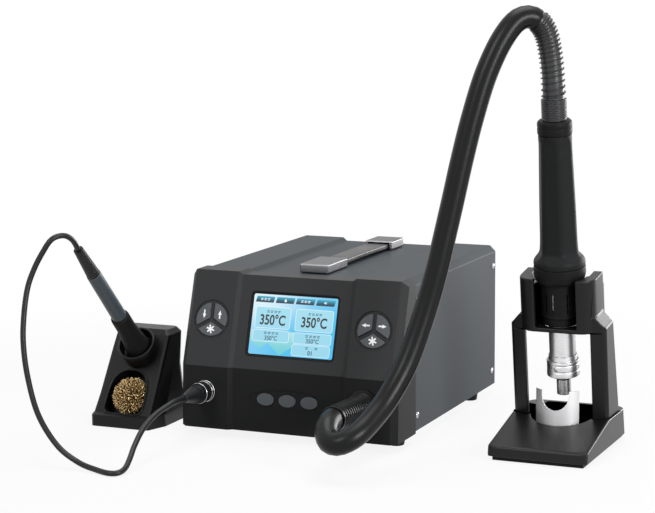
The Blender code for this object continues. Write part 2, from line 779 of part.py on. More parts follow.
def build_keys():
    for side in (-1, 1):
        for name, turn in zip(SECTOR_NAMES[side], SECTOR_TURNS):
            lip = KEY_FIT + KEY_FLANGE
            outline = sector(turn, SECTOR_RADIUS, SECTOR_RIB / 2)
            flange = sector(turn, SECTOR_RADIUS + lip, SECTOR_RIB / 2 - lip)
            middle = math.radians(turn)
            stem_at = (
                SECTOR_RADIUS * 0.6 * math.cos(middle), SECTOR_RADIUS * 0.6 * math.sin(middle),
            )
            cap, rim, stem = key_solid(name, outline, flange, KEY_PROUD, -full_wall, stem_at)
            place = (side * CLUSTER_X, -CLUSTER_DROP, 0.0)
            show(cap, key_grey, upper_face, place)
            combine(cap, hide(rim, upper_face, place), "UNION")
            combine(cap, hide(stem, upper_face, place), "UNION")
    for number, k in enumerate((-1, 0, 1), 1):
        name = f"preset_key_{number}"
        outline = ellipse(PRESET_W / 2, PRESET_H / 2, steps=16)
        lip = KEY_FIT + KEY_FLANGE
        flange = ellipse(PRESET_W / 2 + lip, PRESET_H / 2 + lip, steps=16)
        cap, rim, stem = key_solid(
            name, outline, flange, KEY_PROUD - WING_STEP, -full_wall, (0.0, 0.0)
        )
        place = (k * PRESET_PITCH, on_lower(PRESET_Z), 0.0)
        show(cap, key_grey, lower_face, place)
        combine(cap, hide(rim, lower_face, place), "UNION")
        combine(cap, hide(stem, lower_face, place), "UNION")


def build_display():
    back = -full_wall - FIT
    glass = prism(
        "lcd_module",
        rounded(SCREEN_W / 2 + GLASS_MARGIN, SCREEN_H / 2 + GLASS_MARGIN, 0.001, 1),
        back - GLASS_THICK, back,
    )
    window = prism(
        "lcd_pane",
        rounded(SCREEN_W / 2 - KEY_FIT, SCREEN_H / 2 - KEY_FIT, 0.001, 1),
        back - GLASS_THICK / 2, -WING_STEP - SCREEN_STEP - FIT,
    )
    place = (0.0, -SCREEN_DROP, 0.0)
    show(glass, screen_glass, upper_face, place)
    combine(glass, hide(window, upper_face, place), "UNION")

    face = back - KEY_FLANGE - STEM_LENGTH - 1.5 * KEY_TRAVEL - SWITCH_HEIGHT
    board = boxes("display_board", [(
        (-DISPLAY_BOARD_W / 2, -DISPLAY_BOARD_H / 2, face - BOARD_THICK),
        (DISPLAY_BOARD_W / 2, DISPLAY_BOARD_H / 2, face),
    )])
    show(board, board_green, upper_face)
    switches = bmesh.new()
    for side in (-1, 1):
        for turn in SECTOR_TURNS:
            reach = SECTOR_RADIUS * 0.6
            at = (
                side * CLUSTER_X + reach * math.cos(math.radians(turn)),
                -CLUSTER_DROP + reach * math.sin(math.radians(turn)),
            )
            add_cylinder(switches, SWITCH_RADIUS, face - FIT, face + SWITCH_HEIGHT, at, 10)
    combine(board, hide(from_bmesh("board_switches", switches), upper_face), "UNION")
    posts = bmesh.new()
    for x in (-GLASS_POST_X, GLASS_POST_X):
        for y in (-GLASS_POST_Y, GLASS_POST_Y):
            add_cylinder(
                posts, STANDOFF_RADIUS, face - FIT, back - GLASS_THICK - FIT,
                (x, y - SCREEN_DROP), 10,
            )
    combine(board, hide(from_bmesh("board_posts", posts), upper_face), "UNION")
    lower = bmesh.new()
    middle = on_lower(PRESET_Z)
    add_box(
        lower, (-PRESET_BOARD_W / 2, middle - PRESET_BOARD_H / 2, face - BOARD_THICK),
        (PRESET_BOARD_W / 2, middle + PRESET_BOARD_H / 2, face),
    )
    buttons = bmesh.new()
    for k in (-1, 0, 1):
        at = (k * PRESET_PITCH, middle)
        add_cylinder(buttons, SWITCH_RADIUS, face - FIT, face + SWITCH_HEIGHT, at, 10)
    link = boxes("board_link", [(
        (-BOARD_LINK_W / 2, BOARD_LINK_Y, BOARD_LINK_LOW),
        (BOARD_LINK_W / 2, BOARD_LINK_Y + BOARD_LINK_DEEP, BOARD_LINK_HIGH),
    )])
    combine(board, hide(link, unit), "UNION")
    combine(board, hide(from_bmesh("preset_board", lower), lower_face), "UNION")
    combine(board, hide(from_bmesh("preset_switches", buttons), lower_face), "UNION")


build_front()
build_keys()
build_display()


# Cover, tray, rear panel and feet
def build_case():
    rise = WING_STEP + 0.0005
    outline = [
        (-SHELL_SIDE, SHELL_BOTTOM), (-SHELL_SIDE, SHELL_TOP - CHAMFER),
        (CHAMFER - SHELL_SIDE, SHELL_TOP), (-WING_X - WING_SLOPE, SHELL_TOP),
        (-WING_X, SHELL_TOP - rise), (WING_X, SHELL_TOP - rise),
        (WING_X + WING_SLOPE, SHELL_TOP), (SHELL_SIDE - CHAMFER, SHELL_TOP),
        (SHELL_SIDE, SHELL_TOP - CHAMFER), (SHELL_SIDE, SHELL_BOTTOM),
    ]
    cover = sheet("shell_cover", outline, BEZEL_REAR + FIT, SHELL_REAR, SHELL_SHEET, -1)
    show(cover, cover_paint, unit)

    tray_side = SHELL_SIDE - SHELL_SHEET - FIT
    tray_low = SHELL_BOTTOM + FIT
    tray_line = [
        (-tray_side, tray_low + TRAY_FLANGE), (-tray_side, tray_low),
        (tray_side, tray_low), (tray_side, tray_low + TRAY_FLANGE),
    ]
    panel_y = SHELL_REAR - REAR_INSET - REAR_SHEET
    tray = sheet("base_tray", tray_line, BEZEL_REAR + FIT, panel_y - FIT, SHELL_SHEET, 1)
    show(tray, zinc_steel, unit)

    top = SHELL_TOP - rise - SHELL_SHEET - FIT
    corner = CHAMFER
    outline = [
        (-tray_side, tray_low), (tray_side, tray_low), (tray_side, top - corner),
        (tray_side - corner, top), (corner - tray_side, top), (-tray_side, top - corner),
    ]
    panel = prism("rear_panel", outline, 0.0, REAR_SHEET)
    show(panel, rear_paint, unit, (0.0, panel_y + REAR_SHEET, 0.0), (90.0, 0.0, 0.0))
    holes = bmesh.new()
    add_box(
        holes, (INLET_X - INLET_W / 2 - FIT, -0.01, INLET_Z - INLET_H / 2 - FIT),
        (INLET_X + INLET_W / 2 + FIT, 0.01, INLET_Z + INLET_H / 2 + FIT),
    )
    add_box(
        holes, (SWITCH_X - SWITCH_W / 2 - FIT, -0.01, INLET_Z - SWITCH_H / 2 - FIT),
        (SWITCH_X + SWITCH_W / 2 + FIT, 0.01, INLET_Z + SWITCH_H / 2 + FIT),
    )
    for k in range(VENT_COUNT):
        z = VENT_Z + (k - VENT_COUNT // 2) * VENT_PITCH
        for side in (-1, 1):
            middle = VENT_X * side
            add_box(
                holes, (middle - VENT_LENGTH / 2, -0.01, z - VENT_WIDTH / 2),
                (middle + VENT_LENGTH / 2, 0.01, z + VENT_WIDTH / 2),
            )
    cut(panel, hide(from_bmesh("rear_holes_cut", holes), unit, (0.0, panel_y, 0.0)))

    for end, y in (("front", FRONT_FOOT_Y), ("rear", REAR_FOOT_Y)):
        top = CASE_BOTTOM if end == "front" else SHELL_BOTTOM + FIT
        for side, x in (("left", -FOOT_X), ("right", FOOT_X)):
            foot = lathe(f"foot_{end}_{side}", [
                (0.0, top - FIT), (FOOT_RADIUS, top - FIT), (FOOT_RADIUS * 0.85, 0.0),
                (0.0, 0.0),
            ], 16)
            show(foot, foot_rubber, unit, (x, y, 0.0))
    return panel_y, tray_low + SHELL_SHEET


def sheet(name, line, front, rear, thickness, side):
    """A folded metal sheet: a line in X and Z, drawn out along Y and thickened inwards."""
    shape = bmesh.new()
    near = [shape.verts.new((x, front, z)) for x, z in line]
    far = [shape.verts.new((x, rear, z)) for x, z in line]
    for i in range(len(line) - 1):
        shape.faces.new((near[i], near[i + 1], far[i + 1], far[i]))
    mesh = bpy.data.meshes.new(name)
    shape.to_mesh(mesh)
    shape.free()
    obj = bpy.data.objects.new(name, mesh)
    thicken = obj.modifiers.new("thickness", "SOLIDIFY")
    thicken.thickness = thickness
    thicken.offset = side
    thicken.use_even_offset = True
    return obj


panel_y, tray_top = build_case()


# Handle strap with its two end caps
def build_handle():
    deck = SHELL_TOP - WING_STEP - 0.0005 + FIT
    ends = {
        "handle_cap_front": (FRONT_CAP_Y, FRONT_CAP_LENGTH, 1),
        "handle_cap_rear": (REAR_CAP_Y, REAR_CAP_LENGTH, -1),
    }
    pocket_h = STRAP_THICK + STRAP_BOW + 2 * FIT
    strap_z = deck + CAP_HEIGHT - CAP_ROOF - FIT - STRAP_BOW
    for name, (start, length, mouth) in ends.items():
        cap = boxes(name, [(
            (-CAP_W / 2, start, deck), (CAP_W / 2, start + length, deck + CAP_HEIGHT),
        )])
        show(bevel(cap, CAP_EDGE), bright_chrome, unit)
        inner = start + CAP_END_WALL if mouth > 0 else start - CAP_END_WALL
        pocket = boxes(name + "_pocket_cut", [(
            (-STRAP_W / 2 - FIT, inner, deck + CAP_HEIGHT - CAP_ROOF - pocket_h),
            (STRAP_W / 2 + FIT, inner + length, deck + CAP_HEIGHT - CAP_ROOF),
        )])
        cut(cap, hide(pocket, unit))
    front = FRONT_CAP_Y + CAP_END_WALL + FIT
    rear = REAR_CAP_Y + REAR_CAP_LENGTH - CAP_END_WALL - FIT
    steps = 10
    rings = []
    for i in range(steps + 1):
        y = front + (rear - front) * i / steps
        lift = strap_z + STRAP_BOW * math.sin(math.pi * i / steps)
        rings.append([
            (-STRAP_W / 2, y, lift - STRAP_THICK), (STRAP_W / 2, y, lift - STRAP_THICK),
            (STRAP_W / 2, y, lift), (-STRAP_W / 2, y, lift),
        ])
    show(loft("handle_strap", rings), strap_rubber, unit)


build_handle()


# Iron connector: socket in the panel, plug, coupling ring and boot
def build_connector():
    at = (SOCKET_X, on_lower(SOCKET_Z), 0.0)
    wall = full_wall
    socket = lathe("iron_socket", [
        (SOCKET_RADIUS, SOCKET_NOSE + FIT), (SOCKET_RADIUS, SOCKET_FLANGE + FIT),
        (SOCKET_RIM, SOCKET_FLANGE + FIT), (SOCKET_RIM, FIT), (SOCKET_RADIUS, FIT),
        (SOCKET_RADIUS, -wall - SOCKET_BODY), (0.0, -wall - SOCKET_BODY),
        (0.0, -wall), (PLUG_RADIUS + FIT, -wall), (PLUG_RADIUS + FIT, SOCKET_NOSE + FIT),
    ], 16, closed=True)
    socket.data.vertices[6].co.x = 0.0
    show(socket, black_plastic, lower_face, at)
    ring_start = SOCKET_FLANGE + 2 * FIT
    ring_end = ring_start + RING_LENGTH
    neck = PLUG_RADIUS + 0.0006
    plug = lathe("iron_plug", [
        (0.0, PLUG_LENGTH), (neck, PLUG_LENGTH), (neck, -wall + 2 * FIT + 0.0035),
        (PLUG_RADIUS, -wall + 2 * FIT + 0.0035), (PLUG_RADIUS, -wall + FIT), (0.0, -wall + FIT),
    ], 16)
    plug.data.vertices[2].co.z = SOCKET_NOSE + 2 * FIT
    plug.data.vertices[3].co.z = SOCKET_NOSE + 2 * FIT
    show(plug, zinc_steel, lower_face, at)
    ring = lathe("coupling_ring", [
        (RING_RADIUS - 0.0006, ring_end), (RING_RADIUS, ring_end - 0.0006),
        (RING_RADIUS, ring_start + 0.0006), (RING_RADIUS - 0.0006, ring_start),
        (SOCKET_RADIUS + FIT, ring_start), (SOCKET_RADIUS + FIT, SOCKET_NOSE + 2 * FIT + 0.0004),
        (neck + FIT, SOCKET_NOSE + 2 * FIT + 0.0004), (neck + FIT, ring_end),
    ], 16, closed=True)
    show(ring, bright_chrome, lower_face, at)
    boot_start = ring_end + FIT
    boot_end = boot_start + BOOT_LENGTH
    cable_r = CABLE_DIAMETER / 2
    boot = lathe("plug_boot", [
        (0.0, boot_end), (cable_r + 0.0012, boot_end), (cable_r + 0.0018, boot_end - 0.007),
        (BOOT_RADIUS * 0.8, boot_start + 0.009), (BOOT_RADIUS, boot_start + 0.004),
        (BOOT_RADIUS, boot_start), (neck + FIT, boot_start), (neck + FIT, PLUG_LENGTH + FIT),
        (0.0, PLUG_LENGTH + FIT),
    ], 12)
    show(boot, iron_rubber, lower_face, at)
    return boot_end + FIT


boot_face = build_connector()


# Hose guard and the blower that feeds it
def build_air():
    at = (OUTLET_X, on_lower(OUTLET_Z), 0.0)
    start = FIT + GUARD_COLLAR_LENGTH
    ribs = []
    pitch = (GUARD_LENGTH - start - 0.002) / GUARD_RIBS
    profile = [(GUARD_BORE, GUARD_LENGTH), (GUARD_RADIUS, GUARD_LENGTH)]
    for k in range(GUARD_RIBS):
        high = GUARD_LENGTH - 0.002 - pitch * k
        ribs.extend([
            (GUARD_RADIUS, high), (GUARD_RADIUS - GUARD_GROOVE, high - 0.5 * pitch),
        ])
    profile += ribs
    back = -full_wall - FIT
    profile += [
        (GUARD_RADIUS, start), (GUARD_COLLAR, start), (GUARD_COLLAR, FIT), (GUARD_RADIUS, FIT),
        (GUARD_RADIUS, back), (GUARD_NUT, back), (GUARD_NUT, back - GUARD_NUT_LENGTH),
        (GUARD_BORE, back - GUARD_NUT_LENGTH),
    ]
    show(lathe("hose_guard", profile, 12, closed=True), hose_rubber, lower_face, at)

    centre = Vector((OUTLET_X - SCROLL_RADIUS + SPOUT_RADIUS, BLOWER_Y, OUTLET_Z))
    low = -SCROLL_DEPTH / 2
    high = SCROLL_DEPTH / 2
    skirt_low = tray_top + FIT - OUTLET_Z
    scroll = cylinder("blower_housing", SCROLL_RADIUS, low, high, steps=24)
    show(scroll, black_plastic, unit, centre)
    skirt = hide(cylinder("blower_skirt", SKIRT_RADIUS, skirt_low, low + FIT), unit, centre)
    spout_y = along_guard_back() + FIT
    spout = hide(
        cylinder("blower_spout", SPOUT_RADIUS, 0.0, BLOWER_Y - spout_y, steps=20),
        unit, (OUTLET_X, BLOWER_Y, OUTLET_Z), (90.0, 0.0, 0.0),
    )
    combine(scroll, skirt, "UNION")
    combine(scroll, spout, "UNION")
    bore = cylinder(
        "spout_bore_cut", SPOUT_RADIUS - SCROLL_WALL, -0.001, BLOWER_Y - spout_y + 0.01, steps=20
    )
    wide = cylinder(
        "scroll_cut", SCROLL_RADIUS - SCROLL_WALL, low + SCROLL_WALL, high - SCROLL_WALL, steps=24
    )
    mouth = cylinder("inlet_cut", INLET_RADIUS, 0.0, high + SCROLL_WALL)
    cut(
        scroll, hide(wide, unit, centre), hide(mouth, unit, centre),
        hide(cylinder("skirt_cut", SKIRT_RADIUS - SKIRT_WALL, skirt_low - 0.01, low), unit, centre),
        hide(
            cylinder(
                "shaft_cut", SHAFT_RADIUS + FIT, low - 0.001, low + 2 * SCROLL_WALL, steps=16
            ), unit, centre,
        ),
        hide(bore, unit, (OUTLET_X, BLOWER_Y, OUTLET_Z), (90.0, 0.0, 0.0)),
    )

    shaft_top = high - SCROLL_WALL - 0.004
    motor = lathe("blower_motor", [
        (0.0, shaft_top), (SHAFT_RADIUS, shaft_top), (SHAFT_RADIUS, low - FIT),
        (MOTOR_RADIUS, low - FIT), (MOTOR_RADIUS, skirt_low), (0.0, skirt_low),
    ], 16)
    show(motor, motor_steel, unit, centre)

    disc_low = low + SCROLL_WALL + 0.0006
    disc_top = disc_low + DISC_THICK
    bore_r = SHAFT_RADIUS + FIT
    impeller = lathe("blower_impeller", [
        (bore_r, shaft_top - 0.001), (HUB_RADIUS * 0.7, shaft_top - 0.001),
        (HUB_RADIUS, disc_top + 0.004), (HUB_RADIUS, disc_top), (IMPELLER_RADIUS, disc_top),
        (IMPELLER_RADIUS, disc_low), (bore_r, disc_low),
    ], 16, closed=True)
    show(impeller, white_plastic, unit, centre)
    blades = bmesh.new()
    for k in range(BLADE_COUNT):
        turn = Matrix.Rotation(2 * math.pi * k / BLADE_COUNT, 4, "Z")
        lean = Matrix.Rotation(math.radians(-35.0), 4, "Z")
        length = IMPELLER_RADIUS - HUB_RADIUS - 0.004
        spot = Matrix.Translation((
            (IMPELLER_RADIUS + HUB_RADIUS) / 2 - 0.001, 0.0, disc_top + BLADE_HEIGHT / 2 - FIT,
        ))
        size = Matrix.Diagonal((length, BLADE_THICK, BLADE_HEIGHT, 1.0))
        bmesh.ops.create_cube(blades, size=1.0, matrix=turn @ spot @ lean @ size)
    combine(impeller, hide(from_bmesh("impeller_blades", blades), unit, centre), "UNION")


def along_guard_back():
    """How far behind the crease the hose guard's nut ends."""
    depth = full_wall + 2 * FIT + GUARD_NUT_LENGTH
    return depth * math.cos(lower_lean) + GUARD_NUT * math.sin(lower_lean)


build_air()


# Transformer, power board, mains inlet and switch
def build_power():
    floor = tray_top + FIT
    core = boxes("transformer_core", [(
        (-CORE_W / 2, -CORE_DEPTH / 2, 0.0), (CORE_W / 2, CORE_DEPTH / 2, CORE_HEIGHT),
    )])
    show(core, core_steel, unit, (CORE_X, CORE_Y, floor))
    window = CORE_W / 2 - 2 * CORE_LEG
    windows = [
        ((side * (CORE_LEG + window / 2) - window / 2, -CORE_DEPTH, CORE_LEG),
         (side * (CORE_LEG + window / 2) + window / 2, CORE_DEPTH, CORE_HEIGHT - CORE_LEG))
        for side in (-1, 1)
    ]
    place = (CORE_X, CORE_Y, floor)
    cut(core, hide(boxes("core_windows_cut", windows), unit, place))
    half_w = CORE_LEG + window - FIT
    half_d = CORE_DEPTH / 2 + COIL_MARGIN
    coil = boxes("transformer_coil", [(
        (-half_w, -half_d, CORE_LEG + FIT), (half_w, half_d, CORE_HEIGHT - CORE_LEG - FIT),
    )])
    show(coil, coil_tape, unit, place)
    leg = boxes("coil_leg_cut", [(
        (-CORE_LEG - FIT, -CORE_DEPTH / 2 - FIT, 0.0),
        (CORE_LEG + FIT, CORE_DEPTH / 2 + FIT, CORE_HEIGHT),
    )])
    cut(coil, hide(leg, unit, place))

    board = boxes("power_board", [(
        (-BOARD_W / 2, -BOARD_LENGTH / 2, BOARD_Z),
        (BOARD_W / 2, BOARD_LENGTH / 2, BOARD_Z + BOARD_THICK),
    )])
    place = (BOARD_X, BOARD_Y, 0.0)
    show(board, board_green, unit, place)
    shape = bmesh.new()
    for x in (-1, 1):
        for y in (-1, 1):
            at = (x * (BOARD_W / 2 - 0.005), y * (BOARD_LENGTH / 2 - 0.005))
            add_cylinder(shape, STANDOFF_RADIUS, floor, BOARD_Z + FIT, at, 10)
    top = BOARD_Z + BOARD_THICK
    add_cylinder(shape, 0.008, top - FIT, top + 0.026, (-0.018, 0.012), 16)
    add_box(shape, (-0.002, -0.022, top - FIT), (0.002, 0.022, top + 0.030))
    add_box(shape, (0.012, -0.020, top - FIT), (0.028, -0.004, top + 0.014))
    add_box(shape, (-0.028, -0.022, top - FIT), (-0.012, -0.008, top + 0.010))
    combine(board, hide(from_bmesh("board_parts", shape), unit, place), "UNION")

    outside = panel_y + REAR_SHEET + FIT
    inlet = boxes("mains_inlet", [(
        (-INLET_W / 2, -INLET_DEPTH, -INLET_H / 2), (INLET_W / 2, FIT, INLET_H / 2),
    )])
    place = (INLET_X, outside, INLET_Z)
    show(inlet, black_plastic, unit, place)
    rim = boxes("inlet_rim", [(
        (-INLET_W / 2 - INLET_RIM, 0.0, -INLET_H / 2 - INLET_RIM),
        (INLET_W / 2 + INLET_RIM, INLET_RIM, INLET_H / 2 + INLET_RIM),
    )])
    combine(inlet, hide(bevel(rim, 0.0006), unit, place), "UNION")
    mouth = prism(
        "inlet_mouth_cut",
        [(-0.012, -0.0078), (0.012, -0.0078), (0.012, 0.003), (0.007, 0.0078),
         (-0.007, 0.0078), (-0.012, 0.003)],
        0.0, 0.016,
    )
    cut(inlet, hide(mouth, unit, (INLET_X, outside + INLET_RIM, INLET_Z), (90.0, 0.0, 0.0)))
    pins = boxes("inlet_pins", [
        ((x - 0.001, -0.016, z - 0.002), (x + 0.001, -0.0045, z + 0.002))
        for x, z in ((-0.007, -0.002), (0.0, 0.002), (0.007, -0.002))
    ])
    combine(inlet, hide(pins, unit, place), "UNION")

    half_w = SWITCH_W / 2
    half_h = SWITCH_H / 2
    body = boxes("switch_frame", [(
        (-half_w, -SWITCH_DEPTH, -half_h), (half_w, FIT, half_h),
    )])
    place = (SWITCH_X, outside, INLET_Z)
    show(body, black_plastic, unit, place)
    rim = boxes("switch_rim", [(
        (-half_w - INLET_RIM / 2, 0.0, -half_h - INLET_RIM / 2),
        (half_w + INLET_RIM / 2, INLET_RIM / 2, half_h + INLET_RIM / 2),
    )])
    combine(body, hide(rim, unit, place), "UNION")
    well_w = half_w - SWITCH_WALL
    well_h = half_h - SWITCH_WALL
    well = boxes("switch_well_cut", [(
        (-well_w, -0.010, -well_h), (well_w, 0.010, well_h),
    )])
    cut(body, hide(well, unit, place))
    rocker_r = 0.024
    half_span = well_h - 0.0006
    face = [
        (y, math.sqrt(rocker_r ** 2 - y * y) - rocker_r)
        for y in [half_span * (i / 5 - 1) for i in range(11)]
    ]
    outline = [(-half_span, -0.0040), (0.0, -0.0078), (half_span, -0.0040)]
    outline += [(z, 0.0012 - 0.6 * d) for z, d in reversed(face)]
    rocker = prism("switch_rocker", outline, FIT - well_w, well_w - FIT)
    turned = Matrix(((0, 0, 1, 0), (0, 1, 0, 0), (-1, 0, 0, 0), (0, 0, 0, 1)))
    rocker.data.transform(turned)
    show(rocker, black_plastic, unit, (SWITCH_X, outside, INLET_Z), (ROCKER_TILT, 0.0, 0.0))


build_power()


# Handpiece
def build_handpiece():
    sleeve_in = TUBE_RADIUS + FIT
    sleeve_out = sleeve_in + NOZZLE_WALL
    cone_end = NOZZLE_LENGTH + 0.0035
    sleeve_end = cone_end + NOZZLE_SLEEVE
    nozzle = lathe("nozzle", [
        (sleeve_out, sleeve_end), (sleeve_out, cone_end), (NOZZLE_RADIUS, NOZZLE_LENGTH),
        (NOZZLE_RADIUS, 0.0), (NOZZLE_RADIUS - NOZZLE_WALL, 0.0),
        (NOZZLE_RADIUS - NOZZLE_WALL, NOZZLE_LENGTH), (sleeve_in, cone_end + NOZZLE_WALL / 2),
        (sleeve_in, sleeve_end),
    ], 16, closed=True)
    show(nozzle, tube_steel, hand_axis)
    clamp_in = sleeve_out + FIT
    clamp_out = clamp_in + CLAMP_WALL
    low = cone_end
    high = low + CLAMP_LENGTH
    band = (high - low) / 6
    clamp = lathe("nozzle_clamp", [
        (clamp_out, high), (clamp_out, high - band), (clamp_out - 0.0004, high - 1.4 * band),
        (clamp_out - 0.0004, low + 2.2 * band), (clamp_out, low + 1.8 * band), (clamp_out, low),
        (clamp_in, low), (clamp_in, high),
    ], 18, closed=True)
    show(clamp, tube_steel, hand_axis)
    start = cone_end + NOZZLE_WALL
    tube = lathe("heater_tube", [
        (TUBE_RADIUS, TUBE_END), (TUBE_RADIUS, start), (TUBE_RADIUS - TUBE_WALL, start),
        (TUBE_RADIUS - TUBE_WALL, TUBE_END),
    ], 20, closed=True)
    show(tube, tube_steel, hand_axis)
    element_r = TUBE_RADIUS - TUBE_WALL - FIT
    element_end = SLEEVE_END + 0.003
    element = lathe("heater_core", [
        (ELEMENT_BORE, element_end), (ELEMENT_BORE * 3, element_end),
        (ELEMENT_BORE * 3, TUBE_END + FIT), (element_r, TUBE_END + FIT - 0.001),
        (element_r, ELEMENT_START), (ELEMENT_BORE, ELEMENT_START),
    ], 16, closed=True)
    show(element, ceramic, hand_axis)

    inner = SLEEVE_RADIUS - SLEEVE_WALL
    lip_r = TUBE_RADIUS + FIT
    sleeve = lathe("vent_sleeve", [
        (SLEEVE_RADIUS, SLEEVE_END), (SLEEVE_RADIUS, SLEEVE_START + SLEEVE_FOOT),
        (SLEEVE_RADIUS - SLEEVE_FOOT_STEP, SLEEVE_START + SLEEVE_FOOT - SLEEVE_FOOT_STEP),
        (SLEEVE_RADIUS - SLEEVE_FOOT_STEP, SLEEVE_START),
        (lip_r, SLEEVE_START), (lip_r, SLEEVE_START + SLEEVE_LIP),
        (inner, SLEEVE_START + SLEEVE_LIP), (inner, SLEEVE_END),
    ], 20, closed=True)
    show(sleeve, black_plastic, hand_axis)
    slots = bmesh.new()
    for k in range(SLOT_COUNT // 2):
        spot = Matrix.Rotation(2 * math.pi * (k + 0.5) / SLOT_COUNT, 4, "Z")
        lift = Matrix.Translation((0.0, 0.0, SLOT_START + SLOT_LENGTH / 2))
        size = Matrix.Diagonal((4 * SLEEVE_RADIUS, SLOT_WIDTH, SLOT_LENGTH, 1.0))
        bmesh.ops.create_cube(slots, size=1.0, matrix=lift @ spot @ size)
    hub = cylinder("slot_keep", inner - FIT, SLOT_START - 0.01, SLOT_START + SLOT_LENGTH + 0.01)
    slot_cut = hide(from_bmesh("sleeve_slots_cut", slots), hand_axis)
    combine(slot_cut, hide(hub, hand_axis), "DIFFERENCE")
    cut(sleeve, slot_cut)

    seat = SLEEVE_RADIUS + FIT
    bore = GRIP_RADIUS - GRIP_WALL
    collar = lathe("front_collar", [
        (COLLAR_RADIUS - 0.001, COLLAR_END), (COLLAR_RADIUS, COLLAR_END - 0.0012),
        (COLLAR_RADIUS, COLLAR_START + 0.0075), (COLLAR_RADIUS - 0.0028, COLLAR_START),
        (seat, COLLAR_START), (seat, SLEEVE_END + FIT), (bore, SLEEVE_END + FIT),
        (bore, COLLAR_END),
    ], 20, closed=True)
    show(collar, black_plastic, hand_axis)

    sides = 6
    steps = 24
    shape = [
        # distance along the axis, outer radius, how far the six flats bite in
        (COLLAR_END + FIT, GRIP_FLARE, 0.0), (COLLAR_END + 0.005, GRIP_FLARE * 0.985, 0.0),
        (COLLAR_END + 0.010, GRIP_FLARE * 0.93, 0.02),
        (COLLAR_END + 0.017, GRIP_RADIUS * 1.10, 0.045),
        (COLLAR_END + 0.026, GRIP_RADIUS * 1.02, 0.05),
        (COLLAR_END + 0.050, GRIP_RADIUS, 0.05), (GRIP_END - 0.020, GRIP_RADIUS * 0.93, 0.05),
        (GRIP_END - 0.004, GRIP_RADIUS * 0.925, 0.03), (GRIP_END, GRIP_RADIUS * 0.91, 0.0),
    ]
    rings = []
    for z, radius, bite in shape:
        ring = []
        for i in range(steps):
            turn = 2 * math.pi * i / steps
            r = radius * (1 - bite * (1 - math.cos(sides * turn)) / 2)
            ring.append((r * math.cos(turn), r * math.sin(turn), z))
        rings.append(ring)
    grip = loft("handpiece_grip", rings)
    show(grip, black_plastic, hand_axis)
    hollow = cylinder("grip_bore_cut", bore, COLLAR_END - 0.01, GRIP_END - GRIP_WALL)
    cut(grip, hide(hollow, hand_axis))

    ring_low = GRIP_END + FIT
    ring_high = ring_low + REAR_RING_LENGTH
    ring = lathe("rear_ring", [
        (0.0, ring_high), (REAR_RING_RADIUS * 0.88, ring_high),
        (REAR_RING_RADIUS, ring_high - 0.002), (REAR_RING_RADIUS, ring_low + 0.001),
        (REAR_RING_RADIUS * 0.96, ring_low), (0.0, ring_low),
    ], 20)
    show(ring, black_plastic, hand_axis)
    cup_low = ring_high + FIT
    cup_high = cup_low + SPRING_CUP_LENGTH
    pitch = SPRING_CUP_LENGTH / 4
    profile = [(0.0, cup_high), (SPRING_CUP_RADIUS - 0.0008, cup_high)]
    for k in range(4):
        top = cup_high - pitch * k
        profile += [(SPRING_CUP_RADIUS, top - 0.2 * pitch), (SPRING_CUP_RADIUS, top - 0.7 * pitch)]
        profile += [(SPRING_CUP_RADIUS - 0.0007, top - 0.85 * pitch)]
    profile += [(SPRING_CUP_RADIUS - 0.0007, cup_low), (0.0, cup_low)]
    show(lathe("spring_cup", profile, 14), hose_rubber, hand_axis)
    return cup_high + FIT


cup_face = build_handpiece()


# Hose, its spring, and the iron's cable
def build_routes():
    start = Vector((OUTLET_X, 0.0, OUTLET_Z)) + face_out(OUTLET_Z, GUARD_LENGTH + FIT)
    end = along(hand_axis, cup_face)
    neck = along(hand_axis, cup_face + NECK_LENGTH)
    line = fine_curve([start, *HOSE_ROUTE, *SPRING_ROUTE, neck, end])
    lengths = run_lengths(line)
    split = lengths[CURVE_STEPS * len(HOSE_ROUTE)]
    hose_line = spaced(line, 0.0, split, 0.52 * HOSE_DIAMETER)
    tube_along("air_hose", hose_line, HOSE_DIAMETER / 2, 3, hose_rubber, unit)
    core_start = split + 3 * FIT
    core_line = spaced(line, core_start, lengths[-1], CORE_HOSE_RADIUS)
    tube_along("hose_core", core_line, CORE_HOSE_RADIUS, 2, hose_rubber, unit)

    margin = SPRING_WIRE + 4 * FIT
    low = core_start + margin
    usable = lengths[-1] - margin - low
    count = SPRING_TURNS * SPRING_STEPS
    coil = []
    side = None
    for k in range(count + 1):
        target = low + usable * k / count
        centre = point_at(line, lengths, target)
        tangent = (point_at(line, lengths, target + margin) - centre).normalized()
        if side is None:
            side = Vector((0.0, 0.0, 1.0)).cross(tangent)
        side = (side - tangent * side.dot(tangent)).normalized()
        turn = 2 * math.pi * k / SPRING_STEPS
        spoke = side * math.cos(turn) + tangent.cross(side) * math.sin(turn)
        coil.append(centre + spoke * SPRING_RADIUS)
    tube_along("hose_spring", coil, SPRING_WIRE, 0, spring_steel, unit)

    boot_tip = along(iron_axis, IRON_BOOT_END + FIT)
    plug_end = Vector((SOCKET_X, 0.0, SOCKET_Z)) + face_out(SOCKET_Z, boot_face)
    cable = fine_curve([boot_tip, *CABLE_ROUTE, plug_end])
    cable_line = spaced(cable, 0.0, run_lengths(cable)[-1], 3 * CABLE_DIAMETER)
    tube_along("iron_cable", cable_line, CABLE_DIAMETER / 2, 2, hose_rubber, unit)


def face_out(z, distance):
    """From a point at crease depth, out to a distance in front of the lower facet."""
    depth = -LOWER_LEAN * (CREASE_Z - z) / (CREASE_Z - CASE_BOTTOM)
    normal = Vector((0.0, -math.cos(lower_lean), math.sin(lower_lean)))
    return Vector((0.0, depth, 0.0)) + normal * distance


build_routes()


